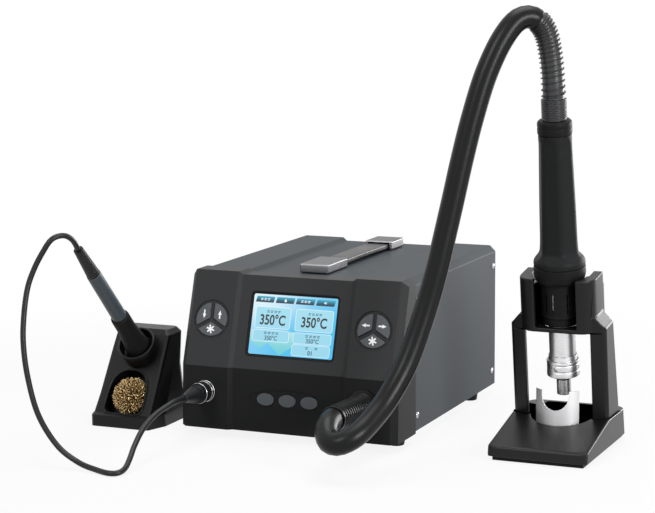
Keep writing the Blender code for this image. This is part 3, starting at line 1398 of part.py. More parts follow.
# Handpiece stand
def leg_rings(side, low, high, grow=0.0):
    """One leg's section, low and high: its front plate and the side wall behind it."""
    edge = STAND_HALF_W + grow
    inside = STAND_HALF_W - STAND_SIDE_WALL - grow
    rings = []
    for height, rear in ((low - grow, LEG_REAR_LOW), (high, LEG_REAR_TOP)):
        section = [
            (LEG_INNER - grow, -LEG_FRONT - grow),
            (edge - LEG_ROUND, -LEG_EDGE - LEG_ROUND - grow), (edge, -LEG_EDGE - grow),
            (edge, rear + grow), (inside, rear + grow),
            (inside, STAND_SIDE_WALL - LEG_EDGE + grow),
            (LEG_INNER - grow, STAND_SIDE_WALL - LEG_FRONT + LEG_ROUND + grow),
        ]
        rings.append([(side * x, y, height) for x, y in section])
    return rings


def build_stand_frame():
    arch = CUP_FLOOR_AT
    floor = arch + CUP_FLOOR
    plan = tub(CUP_HALF_W, -CUP_FRONT, CUP_REAR, CUP_CORNER, CUP_REAR_CORNER)
    body = prism("stand_frame", plan, arch, CUP_TOP)
    show(body, stand_plastic, hand_axis)
    for side in (-1, 1):
        leg = loft("stand_leg", leg_rings(side, -STAND_FOOT, LEG_TOP))
        combine(body, hide(leg, hand_axis), "UNION")
        rings = []
        for x, front, top in (
            (LEG_INNER - LEG_ROUND, LEG_FRONT, SHOULDER_TOP), (LEG_INNER, LEG_FRONT, SHOULDER_TOP),
            (CUP_HALF_W, LEG_FRONT - LEG_ROUND / 2, SHOULDER_TOP),
            (STAND_HALF_W - LEG_ROUND, LEG_EDGE + LEG_ROUND, SHOULDER_END + LEG_ROUND / 2),
            (STAND_HALF_W, LEG_EDGE, SHOULDER_END - LEG_ROUND / 2),
        ):
            rings.append([
                (side * x, -front, arch), (side * x, -front, top),
                (side * x, LEG_REAR_TOP, top), (side * x, LEG_REAR_TOP, arch),
            ])
        combine(body, hide(loft("stand_shoulder", rings), hand_axis), "UNION")
    pass_radius = TUBE_RADIUS + NOZZLE_WALL + CLAMP_WALL + 3 * FIT
    beyond = 2 * CUP_TOP
    tools = [
        boxes("cup_slot_cut", [((-CUP_SLOT, -CUP_HALF_W, floor), (CUP_SLOT, 0.0, beyond))]),
        boxes("cup_back_cut", [((-EAR_INNER, 0.0, CUP_BACK_TOP), (EAR_INNER, CUP_TOP, beyond))]),
        boxes("ear_end_cut", [(
            (-CUP_TOP, EAR_END, CUP_BACK_TOP), (CUP_TOP, CUP_TOP, beyond),
        )]),
        cylinder("cup_bore_cut", COLLAR_RADIUS + CUP_PLAY, floor, beyond, steps=28),
        cylinder("cup_pass_cut", pass_radius, 0.0, floor + CUP_FLOOR),
    ]
    cut(body, *[hide(tool, hand_axis) for tool in tools])


def build_stand_base():
    low = FOOT_PLATE + FIT
    front = [
        (BASE_FRONT, low), (BASE_FRONT + 0.001, BASE_LIP - 0.001), (BASE_FRONT + 0.0023, BASE_LIP),
    ]
    deck = [(RAMP_TOP_Y, RAMP_TOP_Z - 0.0007), (RAMP_TOP_Y + 0.0035, RAMP_TOP_Z)]
    rear = [(BASE_REAR_TOP, RAMP_TOP_Z), (BASE_REAR, low)]
    sides = []
    for share in (0.0, 0.15, 0.45, 1.0):
        reach = BASE_ROUND * (1 - math.sqrt(share * (2 - share)))
        sides.append((BASE_HALF_W - BASE_ROUND * share, reach))
    rings = []
    for x, reach in [*[(-x, d) for x, d in sides], *reversed(sides)]:
        rings.append([
            *[(x, y + reach / 5, z) for y, z in front], *[(x, y, z) for y, z in deck],
            *[(x, y - reach, z) for y, z in rear],
        ])
    base = loft("stand_base", rings)
    place = (HAND_X, 0.0, 0.0)
    show(base, stand_plastic, unit, place)
    well = cylinder("stand_well_cut", WELL_RADIUS, WELL_FLOOR, 0.06, (0.0, WELL_Y), 36)
    cut(base, hide(well, unit, place))
    for side in (-1, 1):
        pocket = loft("leg_pocket_cut", leg_rings(side, -STAND_FOOT, LEG_TOP, FIT))
        cut(base, hide(pocket, hand_axis))

    inset = FOOT_PLATE_INSET
    plate = boxes("stand_foot_plate", [(
        (inset - BASE_HALF_W, BASE_FRONT + inset, 0.0),
        (BASE_HALF_W - inset, BASE_REAR - inset, FOOT_PLATE),
    )])
    show(plate, foot_rubber, unit, place)


def build_heat_shield():
    steps = 16
    spread = math.asin(SHIELD_HALF_W / SHIELD_RADIUS)
    arc = [1.5 * math.pi + spread * (2 * i / steps - 1) for i in range(steps + 1)]
    shape = bmesh.new()
    rows = []
    for z in (WELL_FLOOR + FIT, SHIELD_TOP):
        rows.append([
            shape.verts.new((SHIELD_RADIUS * math.cos(a), SHIELD_RADIUS * math.sin(a), z))
            for a in arc
        ])
    near, far = rows
    for i in range(steps):
        shape.faces.new((near[i], near[i + 1], far[i + 1], far[i]))
    mesh = bpy.data.meshes.new("heat_shield")
    shape.to_mesh(mesh)
    shape.free()
    shield = bpy.data.objects.new("heat_shield", mesh)
    thicken = shield.modifiers.new("thickness", "SOLIDIFY")
    thicken.thickness = SHIELD_SHEET
    thicken.offset = -1.0
    show(shield, shield_steel, unit, (HAND_X, SHIELD_Y, 0.0))
    notch = [(SHIELD_NOTCH, SHIELD_TOP * 2), (-SHIELD_NOTCH, SHIELD_TOP * 2)]
    notch += [
        (SHIELD_NOTCH * math.cos(a), SHIELD_NOTCH_Z + (SHIELD_NOTCH_Z - SHIELD_NOTCH_BOTTOM)
         * math.sin(a)) for a in [math.pi + math.pi * i / 12 for i in range(13)]
    ]
    tool = prism("shield_notch_cut", notch, 0.0, 2 * SHIELD_RADIUS)
    cut(shield, hide(tool, unit, (HAND_X, SHIELD_Y, 0.0), (90.0, 0.0, 0.0)))


build_stand_frame()
build_stand_base()
build_heat_shield()


# Iron holder, brass wool and iron
def build_holder():
    rings = []
    for z, front, rear, half_front, half_rear, corner in HOLDER_FACE:
        flare = min(front + FLARE_Y, rear - corner - FIT)
        edge = POCKET_CORNER / 2
        half = [
            (half_front - edge, front), (half_front - edge * 0.3, front + edge * 0.3),
            (half_front, front + edge), (half_rear, flare), (half_rear, rear - corner),
            (half_rear - corner * 0.3, rear - corner * 0.3), (half_rear - corner, rear),
        ]
        rings.append([
            *[(x, y, z) for x, y in half], *[(-x, y, z) for x, y in reversed(half)],
        ])
    body = loft("holder_body", rings)
    place = (HOLDER_X, 0.0, 0.0)
    show(body, black_plastic, unit, place)

    foot, head = (HOLDER_FACE[row] for row in SLOPE_ROWS)
    rise = (Vector((0.0, head[1], head[0])) - Vector((0.0, foot[1], foot[0]))).normalized()
    inward = Vector((0.0, rise.z, -rise.y))
    start = Vector((HOLDER_X, foot[1], foot[0]))
    spot = start + rise * ((POCKET_Z - foot[0]) / rise.z)
    half_w, half_h, corner = POCKET_HALF_W, POCKET_HALF_H, POCKET_CORNER
    side = [
        (half_w - corner, -half_h), (half_w - corner * 0.3, -half_h + corner * 0.3),
        (half_w, -half_h + corner), (half_w * 0.96, half_h * 0.2), (half_w * 0.85, half_h * 0.57),
        (half_w * 0.58, half_h * 0.86), (half_w * 0.27, half_h * 0.98),
    ]
    outline = [*side, *[(-x, y) for x, y in reversed(side)]]
    pocket = prism("wool_pocket_cut", outline, -WOOL_SINK - WOOL_DEPTH - FIT, 0.02)
    tilt = (math.degrees(math.atan2(rise.z, rise.y)), 0.0, 0.0)
    cut(body, hide(pocket, unit, spot, tilt))
    wool_shape = bmesh.new()
    squash = Matrix.Diagonal((1.0, 1.0, WOOL_DEPTH / WOOL_RADIUS, 1.0))
    bmesh.ops.create_uvsphere(
        wool_shape, u_segments=18, v_segments=9, radius=WOOL_RADIUS, matrix=squash
    )
    wool_at = spot + inward * WOOL_SINK - rise * WOOL_DROP
    show(from_bmesh("brass_wool", wool_shape), brass_wire, unit, wool_at, tilt)

    bore = cylinder("funnel_seat_cut", FUNNEL_RADIUS + FIT, FUNNEL_FOOT - FIT, 0.06, steps=24)
    cut(body, hide(bore, iron_axis))
    tip_bore = TIP_RADIUS + TIP_PLAY
    deep = cylinder("tip_bore_cut", tip_bore, -TIP_BORE_DEPTH, FUNNEL_FOOT, steps=20)
    cut(body, hide(deep, iron_axis))
    inner = FUNNEL_RADIUS - FUNNEL_WALL
    funnel = lathe("holder_funnel", [
        (FUNNEL_LIP - 0.0008, FUNNEL_OUT), (FUNNEL_LIP, FUNNEL_OUT - 0.0008),
        (FUNNEL_LIP, FUNNEL_OUT - 0.0030), (FUNNEL_RADIUS, FUNNEL_OUT - 0.0040),
        (FUNNEL_RADIUS, FUNNEL_FOOT), (tip_bore, FUNNEL_FOOT), (tip_bore, IRON_START),
        (0.8 * IRON_GRIP_RADIUS, IRON_START), (inner, IRON_START + 0.002), (inner, FUNNEL_OUT),
    ], 20, closed=True)
    show(funnel, black_plastic, iron_axis)


def build_iron():
    grip_r = IRON_GRIP_RADIUS
    grip = lathe("iron_grip", [
        (0.0, IRON_GRIP_END), (grip_r * 0.9, IRON_GRIP_END), (grip_r, IRON_GRIP_END - 0.002),
        (grip_r * 0.97, IRON_GRIP_END - 0.018), (grip_r, IRON_START + 0.012),
        (grip_r * 1.08, IRON_START + 0.004), (grip_r * 0.95, IRON_START + 0.0012),
        (TIP_RADIUS + 0.0012, IRON_START + FIT), (0.0, IRON_START + FIT),
    ], 18)
    show(grip, iron_rubber, iron_axis)
    low = IRON_GRIP_END + FIT
    sleeve_r = IRON_SLEEVE_RADIUS
    sleeve = lathe("iron_sleeve", [
        (0.0, IRON_SLEEVE_END), (sleeve_r * 0.96, IRON_SLEEVE_END),
        (sleeve_r * 1.02, low + 0.002), (sleeve_r * 1.02, low), (0.0, low),
    ], 18)
    show(sleeve, sleeve_blue, iron_axis)
    start = IRON_SLEEVE_END + FIT
    pitch = (IRON_BOOT_END - start) / BOOT_RIBS
    profile = [(0.0, IRON_BOOT_END)]
    for k in range(BOOT_RIBS):
        top = IRON_BOOT_END - pitch * k
        r = IRON_BOOT_TIP + (IRON_BOOT_RADIUS - IRON_BOOT_TIP) * k / (BOOT_RIBS - 1)
        profile += [(r, top), (r - 0.0007, top - 0.6 * pitch)]
    profile += [(IRON_BOOT_RADIUS, start), (0.0, start)]
    show(lathe("iron_boot", profile, 12), iron_rubber, iron_axis)
    tip = lathe("iron_tip_barrel", [
        (0.0, IRON_START), (TIP_RADIUS, IRON_START), (TIP_RADIUS, -TIP_LENGTH * 0.62),
        (TIP_RADIUS * 0.8, -TIP_LENGTH * 0.66), (TIP_RADIUS * 0.7, -TIP_LENGTH * 0.8),
        (0.0004, -TIP_LENGTH), (0.0, -TIP_LENGTH),
    ], 14)
    show(tip, tube_steel, iron_axis)


build_holder()
build_iron()
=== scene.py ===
import json
import random
from math import atan2, cos, degrees, pi, radians, sin, sqrt

import bmesh
import bpy
from mathutils import Matrix, Vector


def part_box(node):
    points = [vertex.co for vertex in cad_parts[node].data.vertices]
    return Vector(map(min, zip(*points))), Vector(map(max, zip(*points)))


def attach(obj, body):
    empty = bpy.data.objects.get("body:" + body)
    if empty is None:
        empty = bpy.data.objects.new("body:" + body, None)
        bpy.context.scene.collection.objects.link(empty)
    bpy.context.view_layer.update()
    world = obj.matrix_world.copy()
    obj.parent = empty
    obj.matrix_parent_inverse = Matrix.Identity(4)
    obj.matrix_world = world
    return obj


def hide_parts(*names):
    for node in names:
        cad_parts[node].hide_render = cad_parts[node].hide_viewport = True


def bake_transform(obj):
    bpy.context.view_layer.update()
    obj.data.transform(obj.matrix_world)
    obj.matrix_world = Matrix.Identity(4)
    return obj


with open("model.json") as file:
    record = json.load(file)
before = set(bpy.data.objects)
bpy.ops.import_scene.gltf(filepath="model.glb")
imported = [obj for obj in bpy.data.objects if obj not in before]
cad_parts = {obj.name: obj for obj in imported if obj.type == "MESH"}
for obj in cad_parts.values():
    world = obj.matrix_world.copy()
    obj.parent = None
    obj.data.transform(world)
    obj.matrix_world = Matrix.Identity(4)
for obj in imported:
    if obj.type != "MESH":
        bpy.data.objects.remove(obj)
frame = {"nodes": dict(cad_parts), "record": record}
nodes = frame["nodes"]
bodyOf = {node: body for body, group in frame["record"]["behaviour"]["bodies"].items() for node in group}
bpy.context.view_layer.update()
scene = bpy.context.scene
mm = 0.001

# Where the control unit's own origin lies: its centre line and the crease of its front
unitPlace = Vector((-0.0311, -0.0844, 0.0))


def inUnit(point):
    return Vector(point) + unitPlace


def leaning(x, y, z, tilt):
    return Matrix.Translation(inUnit((x, y, z))) @ Matrix.Rotation(radians(tilt), 4, "X")


# The leaning planes and axes that the pieces are set out on, in metres and degrees about x
unitFrame = leaning(0.0, 0.0, 0.0, 0.0)
lowerLean = atan2(0.002, 0.0505)
upperLean = atan2(0.023, 0.0749)
lowerMiddle = 0.03225
lowerFace = leaning(0.0, -0.001, lowerMiddle, 90.0 - degrees(lowerLean))
upperFace = leaning(0.0, 0.0115, 0.09495, 90.0 - degrees(upperLean))
handAxis = leaning(0.2045, 0.0805, 0.0415, 8.83)
ironAxis = leaning(-0.147, 0.0370, 0.0524, 44.7)

# Camera at the photo's viewpoint
cameraSettings = {
    "place": (0.6572, -1.4383, 0.3916), "lens": 112.0, "sensor": 36.0, "farthest": 20.0,
    "yaw": 0.4074, "pitch": 0.1514, "roll": -0.0062,
}


def addCamera(settings):
    yaw, pitch, roll = settings["yaw"], settings["pitch"], settings["roll"]
    look = Vector((-sin(yaw) * cos(pitch), cos(yaw) * cos(pitch), -sin(pitch)))
    level = Vector((cos(yaw), sin(yaw), 0.0))
    above = level.cross(look)
    side = level * cos(roll) + above * sin(roll)
    top = above * cos(roll) - level * sin(roll)
    camera = bpy.data.objects.new("camera", bpy.data.cameras.new("camera"))
    camera.data.lens = settings["lens"]
    camera.data.sensor_width = settings["sensor"]
    camera.data.clip_end = settings["farthest"]
    camera.matrix_world = Matrix((side, top, -look)).transposed().to_4x4()
    camera.matrix_world.translation = inUnit(settings["place"])
    scene.collection.objects.link(camera)
    scene.camera = camera


addCamera(cameraSettings)
print("camera set")


def feed(wire, node, values):
    for name, value in values.items():
        if isinstance(value, Wire):
            wire.tree.links.new(value.socket, node.inputs[name])
        else:
            node.inputs[name].default_value = value


# A socket of a node tree; sums, products and nodes made from it are sockets again
class Wire:
    def __init__(self, tree, socket=None):
        self.tree = tree
        self.socket = socket

    def node(self, kind, settings=None, sockets=None, out=0):
        made = self.tree.nodes.new(kind if "Node" in kind else "ShaderNode" + kind)
        for name, value in (settings or {}).items():
            setattr(made, name, value)
        feed(self, made, sockets or {})
        return Wire(self.tree, made.outputs[out])

    def maths(self, operation, a, b=0.0):
        return self.node("Math", {"operation": operation}, {0: a, 1: b})

    def __add__(self, other):
        return self.maths("ADD", self, other)

    __radd__ = __add__

    def __mul__(self, other):
        return self.maths("MULTIPLY", self, other)

    def __sub__(self, other):
        return self.maths("SUBTRACT", self, other)

    def __rsub__(self, other):
        return self.maths("SUBTRACT", other, self)

    def noise(self, place, scale, detail=3.0, rough=0.5):
        return self.node("TexNoise", None, {
            "Vector": place, "Scale": scale, "Detail": detail, "Roughness": rough,
        })

    def along(self, axis):
        return self.node("SeparateXYZ", None, {"Vector": self}, out=axis)

    def step(self, low, high):
        return self.node("MapRange", {"interpolation_type": "SMOOTHSTEP"}, {0: self, 1: low, 2: high})

    def mix(self, first, second):
        return self.node("Mix", {"data_type": "RGBA"}, {0: self, 6: first, 7: second}, out=2)


def colour4(colour, gain=1.0):
    return (*[min(1.0, c * gain) for c in colour], 1.0)


def newSurface(name):
    made = bpy.data.materials.new(name)
    made.use_nodes = True
    shader = made.node_tree.nodes["Principled BSDF"]
    wire = Wire(made.node_tree)
    return made, shader, wire, wire.node("TexCoord", out="Object")


# Relief heights in micrometres; paintedShadeBelow gives the height under which the colour is painted dark, a
# painted shade
def finish(name, colour, roughness, metallic=0.0, uneven=0.16, patch=45.0, roughSpread=0.08,
           relief="grain", scale=1400.0, height=20, stretch=(1.0, 1.0, 1.0), turn=0.0,
           scuff=0.0, paintedShadeBelow=None, specular=0.5, tint=(1.0, 1.0, 1.0), **constants):
    made, shader, wire, place = newSurface(name)
    spread = place
    if stretch != (1.0, 1.0, 1.0):
        spread = wire.node("Mapping", None, {
            "Vector": place, "Rotation": (radians(turn), 0.0, 0.0), "Scale": stretch,
        })
    cloud = wire.noise(place, patch, 4.0, 0.55)
    shade = cloud.mix(colour4(colour, 1.0 - uneven), colour4(colour, 1.0 + uneven))
    rough = cloud * (2 * roughSpread) + (roughness - roughSpread)
    if relief == "grain":
        bumps = wire.noise(spread, scale, 2.0, 0.6)
    elif relief == "peel":
        bumps = wire.noise(spread, scale, 1.0, 0.4) * 0.7 + wire.noise(spread, scale * 3.1, 1.0) * 0.3
    elif relief == "brushed":
        bumps = wire.noise(spread, scale, 4.0, 0.7)
        rough = rough + (bumps - 0.5) * 0.16
        shade = bumps.step(0.35, 0.7).mix(colour4(colour, 0.86), colour4(colour, 1.08))
    else:
        bumps = wire.node("TexVoronoi", None, {"Vector": spread, "Scale": scale})
        shade = bumps.step(0.1, 0.6).mix(colour4(colour, 0.6), colour4(colour, 1.5))
    if scuff:
        lines = wire.node("Mapping", None, {
            "Vector": place, "Rotation": (0.3, 0.5, 0.2), "Scale": (1.0, 14.0, 5.0),
        })
        scratches = wire.noise(lines, 90.0, 5.0, 0.65).step(0.66, 0.8) * scuff
        rough = rough + scratches
        shade = scratches.mix(shade, colour4(colour, 2.2))
    # Painted shade: under this height the colour is darkened to 40 %, standing in for the shade on a lower
    # facet
    if paintedShadeBelow:
        upper = place.along("Z").step(*paintedShadeBelow)
        shade = upper.mix(colour4(colour, 0.40), shade)
    feed(wire, shader, {
        "Base Color": shade, "Roughness": rough, "Metallic": metallic, "Specular IOR Level": specular,
        "Specular Tint": (*tint, 1.0), **constants,
        "Normal": wire.node("Bump", None, {"Strength": 0.8, "Distance": height * 1e-6, "Height": bumps}),
    })
    return made


print("materials")
white = (1.0, 1.0, 1.0, 1.0)
# The front's lower facet, under the crease, is painted darker: a painted shade
frontPlastic = finish(
    "frontPlastic", (0.060, 0.061, 0.063), 0.46, uneven=0.04, patch=30.0, roughSpread=0.03, relief="peel",
    scale=900.0, height=30, paintedShadeBelow=(0.0572, 0.0578), specular=0.06,
)
coverPaint = finish(
    "coverPaint", (0.048, 0.0575, 0.0655), 0.52, uneven=0.03, patch=18.0, roughSpread=0.03, relief="peel",
    scale=700.0, height=30, specular=0.12,
)
zincSteel = finish(
    "zincSteel", (0.55, 0.56, 0.58), 0.34, 1.0, relief="brushed", scale=160.0, stretch=(1.0, 9.0, 9.0),
    height=10,
)
rearPaint = finish(
    "rearPaint", (0.10, 0.11, 0.12), 0.5, uneven=0.08, relief="peel", scale=800.0, specular=0.3,
)
keyGrey = finish(
    "keyGrey", (0.130, 0.143, 0.154), 0.42, uneven=0.08, patch=90.0, scale=2200.0, height=15, specular=0.25,
)
strapRubber = finish(
    "strapRubber", (0.030, 0.030, 0.032), 0.40, uneven=0.2, scale=1700.0, height=40, scuff=0.12,
    specular=0.35,
)
brightChrome = finish(
    "brightChrome", (0.55, 0.55, 0.565), 0.30, 1.0, uneven=0.05, roughSpread=0.04, scale=500.0, height=6,
    scuff=0.03, tint=(0.3, 0.3, 0.31),
)
capSteel = finish(
    "capSteel", (0.32, 0.32, 0.33), 0.34, 1.0, relief="brushed", scale=240.0, stretch=(1.0, 9.0, 9.0),
    height=4, tint=(0.5, 0.5, 0.5),
)
footRubber = finish(
    "footRubber", (0.020, 0.020, 0.020), 0.78, relief="peel", scale=1500.0, height=50, specular=0.2,
)
whitePlastic = finish("whitePlastic", (0.72, 0.72, 0.69), 0.45, uneven=0.05)
motorSteel = finish(
    "motorSteel", (0.45, 0.45, 0.46), 0.36, 1.0, relief="brushed", scale=220.0, stretch=(1.0, 1.0, 12.0),
    height=10,
)
blackPlastic = finish(
    "blackPlastic", (0.011, 0.011, 0.012), 0.48, uneven=0.2, patch=70.0, scale=1700.0, height=25,
    scuff=0.08, specular=0.12,
)
gripPlastic = finish(
    "gripPlastic", (0.018, 0.0185, 0.0195), 0.50, uneven=0.18, patch=60.0, scale=1500.0, scuff=0.03,
    specular=0.12,
)
hoseRubber = finish(
    "hoseRubber", (0.0045, 0.0048, 0.0052), 0.32, uneven=0.2, patch=30.0, roughSpread=0.05, scale=600.0,
    scuff=0.04, specular=0.22,
)
coreRubber = finish(
    "coreRubber", (0.050, 0.051, 0.054), 0.34, uneven=0.15, patch=120.0, scale=1500.0, height=30,
    specular=0.45,
)
cableRubber = finish(
    "cableRubber", (0.014, 0.0145, 0.015), 0.36, uneven=0.2, patch=60.0, scale=1300.0, scuff=0.03,
    specular=0.3,
)
tubeSteel = finish(
    "tubeSteel", (0.80, 0.80, 0.81), 0.36, 1.0, relief="brushed", scale=260.0, turn=-8.83,
    stretch=(1.0, 1.0, 14.0), height=2, tint=(0.3, 0.3, 0.31),
)
tipSteel = finish("tipSteel", (0.52, 0.50, 0.48), 0.32, 1.0, patch=160.0, uneven=0.3, scale=900.0)
ceramic = finish("ceramic", (0.80, 0.78, 0.72), 0.72, uneven=0.06, relief="peel", scale=900.0)
springSteel = finish("springSteel", (0.020, 0.020, 0.022), 0.34, 0.2, uneven=0.2, scale=1300.0)
shieldSteel = finish("shieldSteel", (0.74, 0.74, 0.75), 0.46, 0.75, uneven=0.03, scale=1500.0, height=10)
standPlastic = finish(
    "standPlastic", (0.0050, 0.0050, 0.0055), 0.36, uneven=0.15, patch=35.0, roughSpread=0.06,
    relief="peel", scale=750.0, height=35, scuff=0.02, specular=0.28,
)
holderPlastic = finish(
    "holderPlastic", (0.0070, 0.0070, 0.0075), 0.38, uneven=0.15, patch=50.0, relief="peel", scale=800.0,
    height=30, scuff=0.03, specular=0.22,
)
brassWire = finish("brassWire", (0.60, 0.44, 0.22), 0.34, 0.85, uneven=0.3, patch=190.0, scale=1900.0)
# The wool's heart is near black, a painted shade standing for the shade in the gaps between the wires
brassHeartPaintedShade = finish(
    "brassHeartPaintedShade", (0.035, 0.022, 0.008), 0.6, 0.5, uneven=0.5, patch=300.0, scale=900.0, height=400,
)
sleeveBlue = finish(
    "sleeveBlue", (0.088, 0.108, 0.124), 0.40, uneven=0.08, patch=90.0, scale=1900.0, scuff=0.06,
    specular=0.35,
)
foamRubber = finish(
    "foamRubber", (0.008, 0.008, 0.008), 0.66, relief="foam", scale=1500.0, height=80, specular=0.15,
)
# The printed marks glow faintly, a painted glow that brightens them though they are no lamp
markWhiteGlow = finish(
    "markWhiteGlow", (0.95, 0.95, 0.95), 0.5, uneven=0.03, scale=1500.0,
    **{"Emission Color": white, "Emission Strength": 0.3},
)


def boardFinish(name, mask, copper):
    made, shader, wire, place = newSurface(name)
    tracks = wire.node("TexBrick", {"offset": 0.37, "squash": 1.6}, {
        "Vector": place, "Scale": 90.0, "Mortar Size": 0.035, "Color1": (0, 0, 0, 1),
        "Color2": (0, 0, 0, 1), "Mortar": (1, 1, 1, 1),
    }, out="Fac")
    dots = wire.node("TexVoronoi", {"feature": "DISTANCE_TO_EDGE"}, {"Vector": place, "Scale": 220.0})
    shade = (tracks * 0.6 + (1 - dots.step(0.04, 0.09)) * 0.3).mix(colour4(mask), colour4(copper))
    feed(wire, shader, {
        "Base Color": shade, "Roughness": 0.34 + wire.noise(place, 300.0) * 0.15,
        "Normal": wire.node("Bump", None, {"Distance": 0.00004, "Height": tracks}),
    })
    return made


def stackedFinish(name, colour, pitch, metallic, roughness, axis):
    made, shader, wire, place = newSurface(name)
    bands = wire.node("TexWave", {"bands_direction": axis}, {
        "Vector": place, "Scale": 0.314 / pitch, "Distortion": 0.6, "Detail": 2.0,
    })
    shade = bands.step(0.2, 0.9).mix(colour4(colour, 0.55), colour4(colour, 1.15))
    feed(wire, shader, {
        "Base Color": shade, "Roughness": roughness + wire.noise(place, 240.0) * 0.2, "Metallic": metallic,
        "Normal": wire.node("Bump", None, {"Distance": 0.0001, "Height": bands}),
    })
    return made


# Where the lit picture begins and ends, across and up, and how bright it is
screenX, screenZ = (0.006, -0.068), (0.0702, 0.1166)
screenLight = 0.96


def srgb(values):
    return tuple(((v / 255 + 0.055) / 1.055) ** 2.4 for v in values)


def litFinish(name, low, high, span=screenZ, across=None):
    made, shader, wire, place = newSurface(name)
    share = place.along("Z").step(*span)
    if across:
        share = (share * 0.5 + place.along("X").step(*across) * 0.5).step(0.3, 1.15)
    shade = (share * 0.94 + wire.noise(place, 900.0) * 0.06).mix(colour4(srgb(low)), colour4(srgb(high)))
    feed(wire, shader, {
        "Base Color": (0.02, 0.02, 0.02, 1.0), "Roughness": 0.12, "Emission Color": shade,
        "Emission Strength": screenLight,
    })
    return made


boardGreen = boardFinish("boardGreen", (0.02, 0.14, 0.06), (0.05, 0.30, 0.12))
coreSteel = stackedFinish("coreSteel", (0.25, 0.25, 0.27), 0.0009, 0.8, 0.4, "Y")
coilTape = stackedFinish("coilTape", (0.60, 0.40, 0.06), 0.0022, 0.0, 0.35, "Z")
screenGlow = litFinish("screenGlow", (54, 190, 240), (236, 250, 252), across=screenX)
screenTab = litFinish("screenTab", (16, 38, 62), (52, 200, 236), (0.1098, 0.1158))
screenPanel = litFinish("screenPanel", (150, 214, 236), (164, 224, 240))
screenRim = litFinish("screenRim", (216, 242, 250), (232, 248, 252))
screenFacet = litFinish("screenFacet", (104, 204, 216), (198, 236, 232), (0.070, 0.096))
screenInk = litFinish("screenInk", (38, 34, 42), (44, 40, 48))
screenSoftInk = litFinish("screenSoftInk", (62, 88, 112), (62, 88, 112))


def axisPoint(place, z, x=0.0, y=0.0):
    return place @ Vector((x * mm, y * mm, z * mm))


def facing(place, x=0.0, y=0.0, z=1.0):
    return (place.to_3x3() @ Vector((x, y, z))).normalized()


# Meshes: vertices nearer than this are one
sameSpot = 2e-6


def dress(mesh, surface, smooth):
    mesh.materials.clear()
    mesh.materials.append(surface)
    mesh.shade_smooth()
    mesh.set_sharp_from_angle(angle=radians(smooth))


def makePiece(name, shape, surface, smooth=32.0, recalc=True):
    if recalc:
        bmesh.ops.recalc_face_normals(shape, faces=shape.faces)
    mesh = bpy.data.meshes.new(name)
    shape.to_mesh(mesh)
    shape.free()
    dress(mesh, surface, smooth)
    piece = bpy.data.objects.new(name, mesh)
    scene.collection.objects.link(piece)
    return piece


def settle(piece, body, *stoodFor, slot=None):
    if stoodFor:
        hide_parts(*stoodFor)
    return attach(piece, body)


def applyModifiers(piece):
    depsgraph = bpy.context.evaluated_depsgraph_get()
    mesh = bpy.data.meshes.new_from_object(piece.evaluated_get(depsgraph))
    piece.modifiers.clear()
    old, piece.data = piece.data, mesh
    bpy.data.meshes.remove(old)
    return piece


def addRing(shape, centre, side, other, reach, sides):
    turns = [2 * pi * k / sides for k in range(sides)]
    return [shape.verts.new(centre + (side * cos(turn) + other * sin(turn)) * reach) for turn in turns]


def joinRings(shape, rings, closed=False):
    for low, high in zip(rings, rings[1:] + (rings[:1] if closed else [])):
        for k in range(len(low)):
            after = (k + 1) % len(low)
            shape.faces.new((low[k], low[after], high[after], high[k]))


# The line with its inner corners rounded
def softLine(line, radius, steps=3):
    out = [line[0]]
    for before, corner, after in zip(line, line[1:], line[2:]):
        back, on = before - corner, after - corner
        reach = min(radius, 0.45 * back.length, 0.45 * on.length)
        if reach < 1e-6:
            out.append(corner)
            continue
        a = corner + back.normalized() * reach
        b = corner + on.normalized() * reach
        for k in range(steps + 1):
            t = k / steps
            out.append(a.lerp(corner, t).lerp(corner.lerp(b, t), t))
    out.append(line[-1])
    return out


# A profile of stations and radii in mm, turned round an axis; flats scales the radius by height and turn.
# A profile that doesn't start on the axis is closed. The piece is settled on its body, where it has one.
def turned(name, body, node, profile, place, surface, steps, soft=0.4, flats=None, slot=None):
    line = [Vector((z * mm, r * mm)) for z, r in profile]
    closed = profile[0][1] > 0.0
    if closed:
        middle = (line[0] + line[1]) / 2
        line = softLine([middle, *line[1:], line[0], middle], soft * mm)[:-1]
    else:
        line = softLine(line, soft * mm)
    shape = bmesh.new()
    rings = []
    for z, r in line:
        ring = []
        for k in range(steps):
            turn = 2 * pi * k / steps
            reach = r * (flats(z, turn) if flats else 1.0)
            ring.append(shape.verts.new(place @ Vector((reach * cos(turn), reach * sin(turn), z))))
        rings.append(ring)
    joinRings(shape, rings, closed)
    bmesh.ops.remove_doubles(shape, verts=shape.verts, dist=sameSpot)
    piece = makePiece(name, shape, surface)
    if body:
        settle(piece, body, *([node] if node else []), slot=slot)
    return piece


def cutFrom(piece, cutter, withSelf=False):
    cut = piece.modifiers.new("cut", "BOOLEAN")
    cut.object = cutter
    cut.operation = "DIFFERENCE"
    cut.solver = "EXACT"
    cut.use_self = withSelf


# A box among a cutter's, its centre and size in mm
def addBox(shape, place, centre, size):
    shift = Matrix.Translation([v * mm for v in centre])
    matrix = place @ shift @ Matrix.Diagonal((*[v * mm for v in size], 1.0))
    bmesh.ops.create_cube(shape, size=1.0, matrix=matrix)


def carve(piece, cutter):
    cutFrom(piece, cutter, True)
    applyModifiers(piece)
    bpy.data.objects.remove(cutter, do_unlink=True)


